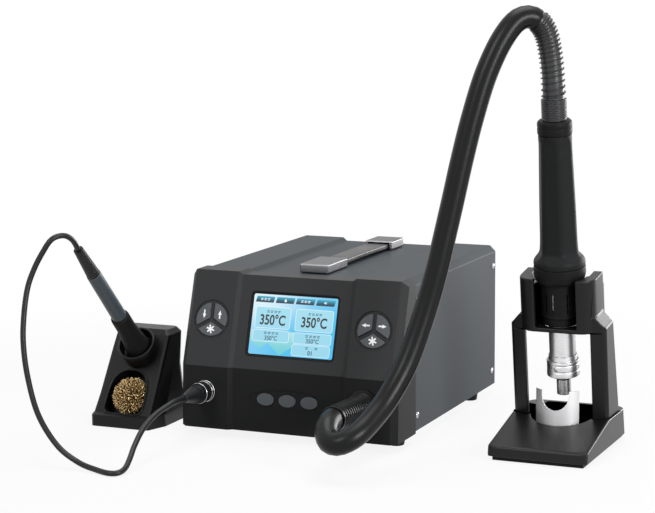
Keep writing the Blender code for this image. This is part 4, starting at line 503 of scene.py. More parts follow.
# A CAD node's own mesh with soft edges; wide picks the edges that are bevelled first, by wideWidth mm
def softened(node, width, surface, segments=3, angle=14.0, wide=None, wideWidth=0.0, clamp=True,
             cutter=None):
    shape = bmesh.new()
    shape.from_mesh(nodes[node].data)
    bmesh.ops.remove_doubles(shape, verts=shape.verts, dist=sameSpot)
    bmesh.ops.dissolve_limit(
        shape, angle_limit=radians(0.6), verts=shape.verts, edges=shape.edges, use_dissolve_boundaries=False
    )
    if wide:
        chosen = [
            edge for edge in shape.edges
            if len(edge.link_faces) == 2 and edge.calc_face_angle(0.0) > radians(20.0) and wide(edge)
        ]
        bmesh.ops.bevel(
            shape, geom=chosen, offset=wideWidth * mm, offset_type="OFFSET", segments=6, profile=0.5,
            affect="EDGES", clamp_overlap=True,
        )
    piece = makePiece(node + "_soft", shape, surface, 60.0, recalc=False)
    if cutter:
        cutFrom(piece, cutter)
    bevel = piece.modifiers.new("edges", "BEVEL")
    bevel.width = width * mm
    bevel.segments = segments
    bevel.limit_method = "ANGLE"
    bevel.angle_limit = radians(angle)
    bevel.miter_outer = "MITER_ARC"
    bevel.use_clamp_overlap = clamp
    weighted = piece.modifiers.new("faces", "WEIGHTED_NORMAL")
    weighted.weight = 90
    weighted.keep_sharp = True
    applyModifiers(piece)
    return settle(piece, bodyOf[node], node)


def addPlates(shape, outlines, place, low, high):
    for outline in outlines:
        bottom, top = (
            [shape.verts.new(axisPoint(place, z, x, y)) for x, y in outline] for z in (low, high)
        )
        shape.faces.new(list(reversed(bottom)))
        shape.faces.new(top)
        joinRings(shape, [bottom, top])


def roundRect(cx, cy, halfW, halfH, corner, skew=0.0, steps=5):
    out = []
    for quarter, (sx, sy) in enumerate(((1, 1), (-1, 1), (-1, -1), (1, -1))):
        for k in range(steps + 1):
            turn = pi / 2 * (quarter + k / steps)
            y = sy * (halfH - corner) + corner * sin(turn)
            x = sx * (halfW - corner) + corner * cos(turn)
            out.append((cx + x + skew * y, cy + y))
    return out


# Tubes that follow a route
def fineCurve(points, steps=16):
    route = [Vector(p) for p in points]
    route = [2 * route[0] - route[1], *route, 2 * route[-1] - route[-2]]
    fine = []
    for a, b, c, d in zip(route, route[1:], route[2:], route[3:]):
        for step in range(steps):
            t = step / steps
            fine.append(0.5 * (
                2 * b + (c - a) * t + (2 * a - 5 * b + 4 * c - d) * t * t
                + (3 * b - a - 3 * c + d) * t * t * t
            ))
    fine.append(route[-2])
    return fine


def runLengths(line):
    lengths = [0.0]
    for a, b in zip(line, line[1:]):
        lengths.append(lengths[-1] + (b - a).length)
    return lengths


def pointAt(line, lengths, target):
    i = 0
    while i < len(line) - 2 and lengths[i + 1] < target:
        i += 1
    share = (target - lengths[i]) / max(lengths[i + 1] - lengths[i], 1e-9)
    return line[i].lerp(line[i + 1], max(0.0, min(1.0, share)))


def evenLine(line, start, end, spacing):
    lengths = runLengths(line)
    count = max(2, round((end - start) / spacing))
    return [pointAt(line, lengths, start + (end - start) * k / count) for k in range(count + 1)]


def sweptShape(line, radius, sides, rounding=0.0):
    shape = bmesh.new()
    side, rings = None, []
    last = len(line) - 1
    for i, point in enumerate(line):
        tangent = (line[min(last, i + 1)] - line[max(0, i - 1)]).normalized()
        if side is None:
            side = tangent.orthogonal()
        side = (side - tangent * side.dot(tangent)).normalized()
        reach = radius(i) if callable(radius) else radius
        spots = [(point, reach)]
        if rounding and i == last:
            spots = [(point - tangent * rounding * back, reach - rounding * inward)
                     for back, inward in ((1.0, 0.0), (0.3, 0.3), (0.0, 1.0))]
        for centre, reach in spots:
            rings.append(addRing(shape, centre, side, tangent.cross(side), reach, sides))
    joinRings(shape, rings)
    shape.faces.new(list(reversed(rings[0])))
    shape.faces.new(rings[-1])
    return shape


# Geometry Nodes: one piece set on every face of a carrier mesh, standing on the face's normal
def spreadTree(name):
    tree = bpy.data.node_groups.new(name, "GeometryNodeTree")
    tree.interface.new_socket("Geometry", in_out="OUTPUT", socket_type="NodeSocketGeometry")
    for label, kind, value in (
        ("Carrier", "Geometry", None), ("Piece", "Object", None), ("Least Size", "Float", 1.0),
        ("Most Size", "Float", 1.0), ("Most Spin", "Float", 0.0), ("Most Tilt", "Float", 0.0),
        ("Seed", "Int", 3), ("Finish", "Material", None),
    ):
        socket = tree.interface.new_socket(label, in_out="INPUT", socket_type="NodeSocket" + kind)
        if value is not None:
            socket.default_value = value
    wire = Wire(tree)
    inputs = tree.nodes.new("NodeGroupInput").outputs
    given = {socket.name: Wire(tree, socket) for socket in inputs if socket.name}
    capture = tree.nodes.new("GeometryNodeCaptureAttribute")
    capture.domain = "FACE"
    capture.capture_items.new("VECTOR", "Normal")
    tree.links.new(given["Carrier"].socket, capture.inputs[0])
    tree.links.new(wire.node("GeometryNodeInputNormal").socket, capture.inputs[1])
    carrier, normal = Wire(tree, capture.outputs[0]), Wire(tree, capture.outputs[1])
    points = wire.node("GeometryNodeMeshToPoints", {"mode": "FACES"}, {"Mesh": carrier})
    upright = wire.node("FunctionNodeAlignRotationToVector", {"axis": "Z"}, {"Vector": normal})

    def chance(low, high, offset):
        return wire.node("FunctionNodeRandomValue", {"data_type": "FLOAT"}, {
            2: low, 3: high, "Seed": given["Seed"] + offset,
        }, out=1)

    tilt = given["Most Tilt"]
    angles = wire.node("CombineXYZ", None, {
        0: chance(tilt * -1.0, tilt, 1), 1: chance(tilt * -1.0, tilt, 2),
        2: chance(0.0, given["Most Spin"], 3),
    })
    spin = wire.node("FunctionNodeEulerToRotation", None, {"Euler": angles})
    rotation = wire.node("FunctionNodeRotateRotation", {"rotation_space": "LOCAL"}, {
        "Rotation": upright, "Rotate By": spin,
    })
    model = wire.node("GeometryNodeObjectInfo", {"transform_space": "ORIGINAL"}, {
        "Object": given["Piece"],
    }, out="Geometry")
    placed = wire.node("GeometryNodeInstanceOnPoints", None, {
        "Points": points, "Instance": model, "Rotation": rotation,
        "Scale": chance(given["Least Size"], given["Most Size"], 4),
    })
    real = wire.node("GeometryNodeRealizeInstances", None, {"Geometry": placed})
    dressed = wire.node("GeometryNodeSetMaterial", None, {"Geometry": real, "Material": given["Finish"]})
    tree.links.new(dressed.socket, tree.nodes.new("NodeGroupOutput").inputs[0])
    return tree


spreader = spreadTree("spreadPieces")
fullTurn = 6.28


# The carrier has a tiny triangle at each spot
def spreadPieces(name, spots, model, surface, smooth=40.0, **settings):
    carrier = bmesh.new()
    for point, normal in spots:
        side = normal.orthogonal().normalized() * 1e-4
        other = normal.normalized().cross(side)
        corners = [point + side, point - side * 0.5 + other * 0.866, point - side * 0.5 - other * 0.866]
        carrier.faces.new([carrier.verts.new(c) for c in corners])
    piece = makePiece(name, carrier, surface, smooth, recalc=False)
    modifier = piece.modifiers.new("spread", "NODES")
    modifier.node_group = spreader
    values = {"Piece": model, "Finish": surface, **settings}
    for item in spreader.interface.items_tree:
        if item.name in values:
            modifier[item.identifier] = values[item.name]
    applyModifiers(piece)
    dress(piece.data, surface, smooth)
    bpy.data.objects.remove(model, do_unlink=True)
    return piece


# Hose and cable first
guard = {"x": 67.0, "z": 37.0, "length": 62.0, "radius": 10.0, "collar": 12.4, "ribs": 15, "groove": 0.8}
socket = {"x": -71.0, "z": 37.3}


def onLowerFace(spot):
    up = (spot["z"] * mm - lowerMiddle) / cos(lowerLean)
    return lowerFace @ Matrix.Translation((spot["x"] * mm, up, 0.0))


guardFace, socketFace = onLowerFace(guard), onLowerFace(socket)
hose = {
    "diameter": 17.5, "reach": 2.6, "core": 8.0, "rib": 0.2, "ribPitch": 1.3, "spring": 8.9, "wire": 0.55,
    "turns": 18, "closest": 1.75, "neck": 9.0, "spacing": 4.0, "coreSpacing": 0.5, "overlap": 3.0,
    "rounding": 0.8, "startGap": 0.5, "endGap": 0.4, "coilSteps": 26,
    "route": [
        (67.9, -75.2, 37.4), (70.7, -83.5, 33.0), (76.0, -90.5, 29.2), (83.5, -93.5, 28.7),
        (91.0, -91.5, 31.5), (97.0, -85.0, 36.0), (102.5, -73.0, 44.0), (108.7, -58.5, 56.3),
        (116.0, -45.0, 75.0), (121.0, -37.0, 91.7), (125.5, -30.5, 110.0), (129.7, -25.3, 128.3),
        (134.5, -20.8, 150.7), (138.7, -16.8, 173.1), (144.1, -11.7, 203.0), (149.3, -6.8, 232.7),
        (155.1, -1.3, 262.3), (162.1, 5.4, 291.9), (169.5, 12.3, 313.9), (176.2, 18.7, 328.0),
        (181.8, 24.2, 335.5), (187.2, 29.2, 338.0), (192.3, 33.2, 336.6),
    ],
    "springRoute": [
        (197.2, 37.0, 331.0), (200.5, 39.5, 322.2), (202.4, 41.0, 311.1), (203.5, 41.8, 301.7),
        (204.1, 42.3, 294.2),
    ],
}
cable = {
    "diameter": 4.4, "plugEnd": 38.5, "spacing": 2.5,
    "route": [
        (-147.1, -75.8, 166.5), (-150.0, -84.2, 170.8), (-155.6, -92.2, 168.6), (-161.2, -96.6, 159.0),
        (-166.5, -101.0, 146.5), (-169.9, -106.0, 132.0), (-170.1, -112.0, 112.6), (-167.8, -118.0, 91.0),
        (-161.0, -124.0, 66.0), (-149.1, -129.5, 38.5), (-131.0, -133.0, 17.0), (-112.0, -134.5, 6.0),
        (-94.0, -139.0, 3.0), (-81.0, -143.0, 2.6), (-74.5, -139.5, 2.8), (-73.5, -131.0, 4.5),
        (-76.0, -119.0, 9.0), (-79.0, -106.0, 15.5), (-80.0, -90.0, 25.0), (-77.5, -74.0, 33.0),
        (-73.5, -61.0, 37.5), (-71.6, -52.5, 39.1),
    ],
}
# Stations on the axes of handpiece and iron, in mm from the nozzle's mouth and from the tip
partGap = 0.3
gripEnd, ringLength, cupLength = 210.0, 11.0, 16.0
cupLow = gripEnd + ringLength + 2 * partGap
cupFace = cupLow + cupLength + partGap
bootTip = {"start": 116.3, "end": 147.8, "ribs": 13, "thin": 4.0, "thick": 5.5, "groove": 0.5}


def inUnitMm(points):
    return [inUnit(Vector(point) * mm) for point in points]


def addCords():
    start = axisPoint(guardFace, guard["length"] + partGap)
    end = axisPoint(handAxis, cupFace)
    neck = axisPoint(handAxis, cupFace + hose["neck"])
    line = fineCurve([start, *inUnitMm(hose["route"] + hose["springRoute"]), neck, end])
    lengths = runLengths(line)
    split = lengths[16 * len(hose["route"])] + hose["reach"] * mm
    hoseLine = evenLine(line, 0.0, split, hose["spacing"] * mm)
    shape = sweptShape(hoseLine, hose["diameter"] / 2 * mm, 40, hose["rounding"] * mm)
    tube = makePiece("airHose", shape, hoseRubber, 50.0)
    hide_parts("air_hose")
    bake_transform(tube)

    def ribs(i):
        return (hose["core"] + hose["rib"] * sin(pi * i * hose["coreSpacing"] / hose["ribPitch"]) ** 2) * mm

    coreLine = evenLine(line, split - hose["overlap"] * mm, lengths[-1], hose["coreSpacing"] * mm)
    core = makePiece("hoseCore", sweptShape(coreLine, ribs, 36), coreRubber, 50.0)
    settle(core, "handpiece", "hose_core", slot="hose_rubber")
    low = split + (hose["wire"] + hose["startGap"]) * mm
    usable = lengths[-1] - (hose["wire"] + hose["endGap"]) * mm - low
    closest, steps = hose["closest"] * mm, hose["coilSteps"]
    coil, side = [], None
    for k in range(hose["turns"] * steps + 1):
        turns = k / steps
        wider = (usable - closest * hose["turns"]) * (turns / hose["turns"]) ** 2
        target = low + closest * turns + wider
        centre = pointAt(line, lengths, target)
        tangent = (pointAt(line, lengths, target + 0.002) - centre).normalized()
        if side is None:
            side = Vector((0.0, 0.0, 1.0)).cross(tangent)
        side = (side - tangent * side.dot(tangent)).normalized()
        turn = 2 * pi * k / steps
        coil.append(centre + (side * cos(turn) + tangent.cross(side) * sin(turn)) * hose["spring"] * mm)
    spring = makePiece("hoseSpring", sweptShape(coil, hose["wire"] * mm, 10), springSteel, 60.0)
    settle(spring, "handpiece", "hose_spring", slot="spring_steel")

    boot = axisPoint(ironAxis, bootTip["end"] + partGap)
    leadLine = fineCurve([boot, *inUnitMm(cable["route"]), axisPoint(socketFace, cable["plugEnd"])])
    leadLength = runLengths(leadLine)[-1]
    path = evenLine(leadLine, 0.0, leadLength, cable["spacing"] * mm)
    path.reverse()
    lead = makePiece("ironCable", sweptShape(path, cable["diameter"] / 2 * mm, 24), cableRubber, 50.0)
    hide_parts("iron_cable")
    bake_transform(lead)


addCords()
print("hose, spring and cable")


# CAD nodes that keep their own mesh, mostly inside the unit
keptFinishes = {
    "base_tray": zincSteel, "rear_panel": rearPaint, "display_board": boardGreen,
    "power_board": boardGreen, "blower_housing": blackPlastic, "blower_motor": motorSteel,
    "blower_impeller": whitePlastic, "transformer_core": coreSteel, "transformer_coil": coilTape,
    "mains_inlet": blackPlastic, "switch_frame": blackPlastic, "switch_rocker": gripPlastic,
    "heater_core": ceramic, "iron_tip_barrel": tipSteel, "lcd_module": blackPlastic,
}
for node, surface in keptFinishes.items():
    for part in nodes[node].material_slots:
        part.material = surface


# Screws, one model set on the places of each group
def screwModel(radius, height, cross):
    profile = [
        (height, 0.0), (height * 0.97, radius * 0.35), (height * 0.78, radius * 0.72),
        (height * 0.35, radius * 0.98), (0.0, radius), (-0.3, radius), (-0.3, 0.0),
    ]
    screw = turned("screwModel", None, None, profile, Matrix.Identity(4), brightChrome, 24, soft=0.12)
    arms = bmesh.new()
    for turn in (0.0, 90.0):
        size = (2 * cross, cross * 0.42, height * 1.1)
        addBox(arms, Matrix.Rotation(radians(turn), 4, "Z"), (0.0, 0.0, height), size)
    carve(screw, makePiece("screwCross", arms, brightChrome))
    return screw


screws = {
    # radius, height and half the cross's width of the two kinds, then where they sit
    "side": (2.7, 1.5, 1.0), "rear": (2.6, 1.3, 1.2), "sideX": 93.0,
    "sidePlaces": [(47.0, 114.0), (47.2, 21.1), (233.9, 114.0), (231.5, 21.3)],
    "rearPlaces": [(-86.0, 118.0), (86.0, 118.0), (-86.0, 30.0), (86.0, 30.0)],
}


def addScrews():
    spots = []
    for side in (-1, 1):
        for y, z in screws["sidePlaces"]:
            spots.append((axisPoint(unitFrame, z, side * screws["sideX"], y), Vector((side, 0, 0))))
    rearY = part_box("rear_panel")[1][1] - unitPlace.y
    rearSpots = [(inUnit((x * mm, rearY, z * mm)), Vector((0, 1, 0))) for x, z in screws["rearPlaces"]]
    for name, places, size, surface, seed in (
        ("coverScrews", spots, screws["side"], brightChrome, 5),
        ("rearScrews", rearSpots, screws["rear"], springSteel, 9),
    ):
        group = spreadPieces(name, places, screwModel(*size), surface, **{"Most Spin": fullTurn, "Seed": seed})
        settle(group, "station", slot="bright_chrome")


# Control unit
def addUnit():
    softened("front_bezel", 0.4, frontPlastic, 2)
    softened("shell_cover", 0.7, coverPaint, 3)
    softened("handle_strap", 1.2, strapRubber, 4)
    softened("handle_cap_front", 0.9, capSteel, 3)
    softened("handle_cap_rear", 0.9, capSteel, 3)
    for node in nodes:
        if node.endswith("_key") or node.startswith("preset_key"):
            softened(node, 0.3, keyGrey, 2)
        elif node.startswith("foot_"):
            softened(node, 0.6, footRubber, 3)


addUnit()
addScrews()
print("control unit")


# Marks on the keys: arrows and a star, each a thin printed plate that glows faintly, a painted glow
marks = {
    "arrow": [(-0.6, -3.3), (0.6, -3.3), (0.6, 0.0), (1.55, 0.0), (0.0, 3.5), (-1.55, 0.0), (-0.6, 0.0)],
    "starRadius": 3.5, "starHalf": 0.64, "starTurn": 12.0, "reach": 8.0, "clusterX": 70.5,
    "clusterY": -1.0, "top": 0.2, "thick": 0.02,
    "keys": [
        # key, side of the screen, where it sits in its round group, which way its arrow points
        ("left_down_key", -1, 150.0, 180.0), ("left_up_key", -1, 30.0, 0.0),
        ("left_star_key", -1, 270.0, None), ("right_back_key", 1, 150.0, 90.0),
        ("right_next_key", 1, 30.0, -90.0), ("right_star_key", 1, 270.0, None),
    ],
}


def turnedOutline(outline, turn, x, y):
    c, s = cos(radians(turn)), sin(radians(turn))
    return [(x + px * c - py * s, y + px * s + py * c) for px, py in outline]


def addMarks():
    half, reach, thick = marks["starHalf"], marks["starRadius"], marks["thick"]
    bar = [(-half, -reach), (half, -reach), (half, reach), (-half, reach)]
    star = [(bar, 60.0 * k + marks["starTurn"]) for k in range(3)]
    for key, side, place, arrowTurn in marks["keys"]:
        x = side * marks["clusterX"] + marks["reach"] * cos(radians(place))
        y = marks["clusterY"] + marks["reach"] * sin(radians(place))
        shape = bmesh.new()
        for layer, (drawn, turn) in enumerate(star if arrowTurn is None else [(marks["arrow"], arrowTurn)]):
            top = marks["top"] + thick + 0.004 * layer
            addPlates(shape, [turnedOutline(drawn, turn, x, y)], upperFace, marks["top"] - thick, top)
        settle(makePiece(key + "_mark", shape, markWhiteGlow), bodyOf[key], slot="key_grey")


addMarks()


# Screen picture, drawn on the pane: s runs across and t down, both from 0 to 1
screen = {"width": 73.2, "height": 48.6, "middleY": -1.6, "face": -3.69, "layer": 0.02}


def screenPoint(s, t):
    return ((s - 0.5) * screen["width"], screen["middleY"] + (0.5 - t) * screen["height"])


def screenBox(left, right, top, bottom, corner, skew=0.0):
    (x0, y0), (x1, y1) = screenPoint(left, top), screenPoint(right, bottom)
    return roundRect((x0 + x1) / 2, (y0 + y1) / 2, (x1 - x0) / 2, (y0 - y1) / 2, corner, skew)


def layerDepth(layer):
    return screen["face"] + screen["layer"] * (1 + layer)


def screenLayer(name, outlines, layer, surface):
    shape = bmesh.new()
    addPlates(shape, outlines, upperFace, screen["face"], layerDepth(layer))
    settle(makePiece(name, shape, surface), "station", slot="screen_glass")


def screenText(name, rows, layer, surface):
    shape = bmesh.new()
    for words, s, t, size, squeeze, weight in rows:
        curve = bpy.data.curves.new("words", "FONT")
        curve.body = words
        curve.size = size
        curve.offset = weight
        curve.align_x = "CENTER"
        curve.align_y = "CENTER"
        curve.extrude = 0.01
        text = bpy.data.objects.new("words", curve)
        scene.collection.objects.link(text)
        bpy.context.view_layer.update()
        depsgraph = bpy.context.evaluated_depsgraph_get()
        mesh = bpy.data.meshes.new_from_object(text.evaluated_get(depsgraph))
        x, y = screenPoint(s, t)
        place = upperFace @ Matrix.Translation((x * mm, y * mm, layerDepth(layer) * mm))
        mesh.transform(place @ Matrix.Diagonal((squeeze * mm, mm, mm, 1.0)))
        shape.from_mesh(mesh)
        bpy.data.meshes.remove(mesh)
        bpy.data.objects.remove(text, do_unlink=True)
    settle(makePiece(name, shape, surface), "station", slot="screen_glass")


def captionBars(s, t, count, width):
    bars = []
    for k in range(count):
        left = s + (k - (count - 1) / 2) * width * 1.35
        bars.append(screenBox(left - width / 2, left + width / 2, t - 0.017, t - 0.005, 0.15))
        bars.append(screenBox(left - width / 2, left + width / 3, t + 0.005, t + 0.017, 0.15))
    return bars


def addLiner():
    shape, rings = bmesh.new(), []
    for halfW, halfH, corner, depth in (
        (36.6, 24.3, 1.5, -3.45), (36.6, 24.3, 1.5, -3.36), (37.9, 25.6, 2.9, -3.34),
        (37.95, 25.65, 2.95, -2.45), (38.1, 25.8, 3.0, -2.28), (38.7, 26.4, 3.4, -2.28),
        (38.9, 26.6, 3.6, -2.45),
    ):
        outline = roundRect(0.0, screen["middleY"], halfW, halfH, corner)
        rings.append([shape.verts.new(axisPoint(upperFace, depth, x, y)) for x, y in outline])
    joinRings(shape, rings, closed=True)
    settle(makePiece("screenLiner", shape, blackPlastic), "station", slot="front_plastic")


def addScreen():
    addLiner()
    big = [(0.045, 0.455, 0.215, 0.555), (0.525, 0.96, 0.215, 0.565)]
    small = [(0.035, 0.46, 0.595, 0.775), (0.52, 0.96, 0.605, 0.775), (0.515, 0.955, 0.80, 0.975)]
    screenLayer("screenGlow", [screenBox(0.0, 1.0, 0.0, 1.0, 1.0)], 0, screenGlow)
    facets = [
        [screenPoint(*p) for p in ((0.0, 0.60), (0.13, 0.60), (0.22, 0.80), (0.115, 0.90), (0.0, 0.77))],
        [screenPoint(*p) for p in ((0.22, 0.80), (0.30, 0.62), (0.52, 0.60), (0.56, 0.79), (0.37, 0.995))],
    ]
    screenLayer("screenFacets", [list(reversed(f)) for f in facets], 1, screenFacet)
    tabs = [screenBox(left, left + 0.215, 0.035, 0.135, 0.3, 0.22) for left in (0.03, 0.27, 0.51, 0.75)]
    screenLayer("screenTabs", tabs, 3, screenTab)
    rims = [screenBox(a - 0.006, b + 0.006, c - 0.009, d + 0.009, 2.0) for a, b, c, d in big + small]
    screenLayer("screenRims", rims, 2, screenRim)
    screenLayer("screenPanels", [screenBox(*box, 1.6) for box in big + small], 3, screenPanel)
    screenText("screenFigures", [
        ("350°C", 0.250, 0.43, 11.2, 0.78, 0.26), ("350°C", 0.743, 0.43, 11.2, 0.78, 0.26),
    ], 5, screenInk)
    screenText("screenSmallFigures", [
        ("350°C", 0.25, 0.725, 4.8, 0.92, 0.10), ("350°C", 0.745, 0.73, 4.8, 0.92, 0.10),
        ("01", 0.735, 0.925, 4.8, 0.95, 0.12),
    ], 5, screenSoftInk)
    bars, icons = (sum((captionBars(*spot) for spot in spots), []) for spots in (
        ((0.255, 0.285, 4, 0.032), (0.748, 0.285, 4, 0.032), (0.25, 0.64, 4, 0.034), (0.745, 0.65, 4, 0.034),
         (0.69, 0.845, 1, 0.034), (0.80, 0.845, 1, 0.034)),
        ((0.14, 0.085, 3, 0.03), (0.62, 0.085, 3, 0.03)),
    ))
    screenLayer("screenCaptions", bars, 5, screenSoftInk)
    lockX, lockY = screenPoint(0.38, 0.095)
    icons.append(roundRect(lockX, lockY, 1.0, 0.8, 0.2))
    icons.append(roundRect(lockX, lockY + 1.1, 0.6, 0.4, 0.35))
    hornX, hornY = screenPoint(0.855, 0.085)
    icons.append([(hornX - 1.3, hornY - 0.5), (hornX - 0.6, hornY - 0.5), (hornX + 0.3, hornY - 1.2),
                  (hornX + 0.3, hornY + 1.2), (hornX - 0.6, hornY + 0.5), (hornX - 1.3, hornY + 0.5)])
    icons.append([(hornX + 0.8, hornY - 0.7), (hornX + 1.1, hornY - 0.7), (hornX + 1.1, hornY + 0.7),
                  (hornX + 0.8, hornY + 0.7)])
    screenLayer("screenIcons", icons, 5, screenRim)


addScreen()
print("keys and screen")


# Connector of the iron's lead, and the hose's guard, whose ribs stand as a share of their pitch
def ribbed(high, low, radius, groove, count, share=0.5):
    pitch = (high - low) / count
    line = []
    for k in range(count):
        top = high - pitch * k
        line += [
            (top - 0.06 * pitch, radius), (top - share * pitch, radius),
            (top - (share + 0.12) * pitch, radius - groove), (top - 0.94 * pitch, radius - groove),
        ]
    return line


def knurl(z, turn):
    return 1.0 - 0.012 * (0.5 + 0.5 * cos(30 * turn)) * (0.0052 < z < 0.0118)


def addConnectors():
    turned("ironSocket", "station", "iron_socket", [
        (6.3, 6.8), (2.1, 6.8), (2.1, 8.5), (0.3, 8.5), (0.3, 6.8), (-20.5, 6.8), (-20.5, 0.1),
        (-5.0, 0.1), (-5.0, 5.1), (6.3, 5.1),
    ], socketFace, blackPlastic, 48, soft=0.3)
    turned("ironPlug", "station", "iron_plug", [
        (24.0, 0.0), (24.0, 5.4), (6.6, 5.4), (6.6, 4.8), (-4.7, 4.8), (-4.7, 0.0),
    ], socketFace, zincSteel, 40)
    turned("couplingRing", "ring", "coupling_ring", [
        (14.9, 7.6), (14.3, 8.2), (12.4, 8.2), (12.0, 7.95), (5.2, 7.95), (4.8, 8.2), (3.0, 8.2), (2.4, 7.6),
        (2.4, 7.1), (6.9, 7.1), (6.9, 5.7), (14.9, 5.7),
    ], socketFace, blackPlastic, 216, soft=0.2, flats=knurl, slot="bright_chrome")
    for index, (z, r, body) in enumerate(((1.2, 8.6, "station"), (4.0, 8.2, "ring"), (13.3, 8.2, "ring"))):
        turned(f"couplingRim{index}", body, None, [
            (z + 0.4, r), (z + 0.15, r + 0.22), (z - 0.15, r + 0.22), (z - 0.4, r), (z - 0.4, r - 0.2),
            (z + 0.4, r - 0.2),
        ], socketFace, brightChrome, 72, soft=0.1, slot="bright_chrome")
    turned("plugBoot", "station", "plug_boot", [
        (38.2, 0.0), (38.2, 3.3), (36.6, 3.5), (30.0, 5.0), (24.2, 6.3), (20.8, 7.0), (19.2, 7.2),
        (18.0, 7.2), (17.7, 6.95), (17.1, 6.95), (16.8, 7.2), (15.2, 7.2), (15.2, 5.7), (24.3, 5.7),
        (24.3, 0.0),
    ], socketFace, cableRubber, 48, soft=0.5)
    top, radius, collar = guard["length"], guard["radius"], guard["collar"]
    profile = [(top, 6.8), (top, 9.6), (top - 0.4, radius)]
    profile += ribbed(top - 1.2, 3.6, radius, guard["groove"], guard["ribs"], 0.46)
    profile += [(3.4, radius), (3.3, collar), (0.3, collar), (0.3, radius), (-5.3, radius), (-5.3, 14.0),
                (-9.3, 14.0), (-9.3, 6.8)]
    turned("hoseGuard", "station", "hose_guard", profile, guardFace, hoseRubber, 64, soft=0.3)


addConnectors()
print("connectors")


# Handpiece, from the nozzle up, on its own axis
gripShape = [
    # Station, radius at the corners, how far the six flats go from round to flat
    (106.3, 19.9, 0.0), (108.8, 20.1, 0.0), (110.6, 19.8, 0.05), (112.4, 18.8, 0.3), (114.6, 17.0, 0.6),
    (117.4, 15.6, 0.75), (121.5, 15.1, 0.75), (128.0, 14.8, 0.75), (140.0, 14.6, 0.75), (156.0, 14.3, 0.75),
    (190.0, 13.4, 0.75), (203.0, 13.1, 0.75), (206.5, 13.0, 0.4), (210.0, 12.8, 0.0),
]
flatsTurn = radians(-3.0)
clampScrew = {"station": 23.6, "side": (-0.18, -0.98), "reach": 12.65, "size": (1.9, 0.9, 0.9)}
vents = {"count": 16, "leftOut": 2, "first": 239.5, "centre": (14.2, 0.0, 78.0), "size": (3.6, 1.5, 15.0)}


def addHandpiece():
    turned("hotNozzle", "handpiece", "nozzle", [
        (33.0, 11.2), (16.0, 11.2), (12.5, 5.6), (0.0, 5.6), (0.0, 5.0), (12.5, 5.0), (16.3, 10.6),
        (33.0, 10.6),
    ], handAxis, tubeSteel, 64, soft=0.25)
    turned("nozzleClamp", "handpiece", "nozzle_clamp", [
        (29.0, 12.5), (28.7, 12.8), (26.9, 12.8), (26.5, 12.4), (25.9, 12.4), (25.6, 12.65), (21.6, 12.65),
        (21.3, 12.35), (20.6, 12.35), (20.2, 12.8), (16.3, 12.8), (16.0, 12.5), (16.0, 11.5), (29.0, 11.5),
    ], handAxis, tubeSteel, 80, soft=0.2)
    x, y = clampScrew["side"]
    spot = axisPoint(handAxis, clampScrew["station"], x * clampScrew["reach"], y * clampScrew["reach"])
    model = screwModel(*clampScrew["size"])
    piece = spreadPieces("clampScrew", [(spot, facing(handAxis, x, y, 0.0))], model, tipSteel, Seed=2)
    settle(piece, "handpiece", slot="tube_steel")
    turned("heaterTube", "handpiece", "heater_tube", [(84.0, 10.3), (16.6, 10.3), (16.6, 9.7), (84.0, 9.7)],
           handAxis, tubeSteel, 80, soft=0.1)
    sleeve = turned("ventSleeve", None, None, [
        (98.5, 15.0), (67.4, 15.0), (67.0, 15.4), (66.1, 15.4), (65.7, 14.6), (64.4, 14.3), (59.6, 14.2),
        (59.2, 13.9), (59.2, 10.6), (61.7, 10.6), (61.7, 13.5), (98.5, 13.5),
    ], handAxis, blackPlastic, 96, soft=0.2)
    slots = bmesh.new()
    for k in range(vents["count"]):
        if k != vents["leftOut"]:
            turn = Matrix.Rotation(radians(vents["first"] + 360.0 / vents["count"] * k), 4, "Z")
            addBox(slots, handAxis @ turn, vents["centre"], vents["size"])
    carve(sleeve, makePiece("sleeveSlots", slots, blackPlastic))
    sleeve.data.set_sharp_from_angle(angle=radians(32.0))
    settle(sleeve, "handpiece", "vent_sleeve")
    turned("frontCollar", "handpiece", "front_collar", [
        (106.0, 19.5), (105.4, 20.2), (99.5, 20.2), (95.8, 19.3), (93.0, 17.4),
        (93.0, 15.3), (98.8, 15.3), (98.8, 11.4), (106.0, 11.4),
    ], handAxis, blackPlastic, 96, soft=0.4)
    fine = fineCurve([(z, r, 100 * b) for z, r, b in gripShape], 6)
    bites = [(p.x * mm, p.z / 100) for p in fine]

    def flats(z, turn):
        at = next((k for k, (station, _) in enumerate(bites) if station >= z - 1e-6), len(bites) - 1)
        off = (turn - flatsTurn) % (pi / 3) - pi / 6
        return min(1.0, (1.0 - 0.1 * max(0.0, bites[at][1])) / cos(off))

    profile = [(gripShape[0][0], 11.4)] + [(p.x, p.y) for p in fine] + [(gripEnd, 0.0)]
    turned("handpieceGrip", "handpiece", "handpiece_grip", list(reversed(profile)), handAxis, gripPlastic,
           120, soft=0.5, flats=flats)
    turned("rearRing", "handpiece", "rear_ring", [
        (221.3, 0.0), (221.3, 11.8), (219.9, 13.2), (218.6, 13.4), (216.6, 13.4), (216.3, 13.1),
        (215.7, 13.1), (215.4, 13.4), (211.3, 13.4), (210.3, 12.9), (210.3, 0.0),
    ], handAxis, blackPlastic, 80, soft=0.4)
    top = cupLow + cupLength
    profile = [(top, 0.0), (top, 9.0)] + ribbed(top - 0.3, cupLow + 1.0, 9.8, 0.6, 11)
    profile += [(cupLow, 9.3), (cupLow, 0.0)]
    turned("springCup", "handpiece", "spring_cup", profile, handAxis, coreRubber, 64, soft=0.2)


addHandpiece()
print("handpiece")


# Stand
standHollow = {"centre": (204.5, 97.0, 31.0), "size": (46.2, 37.0, 49.0)}


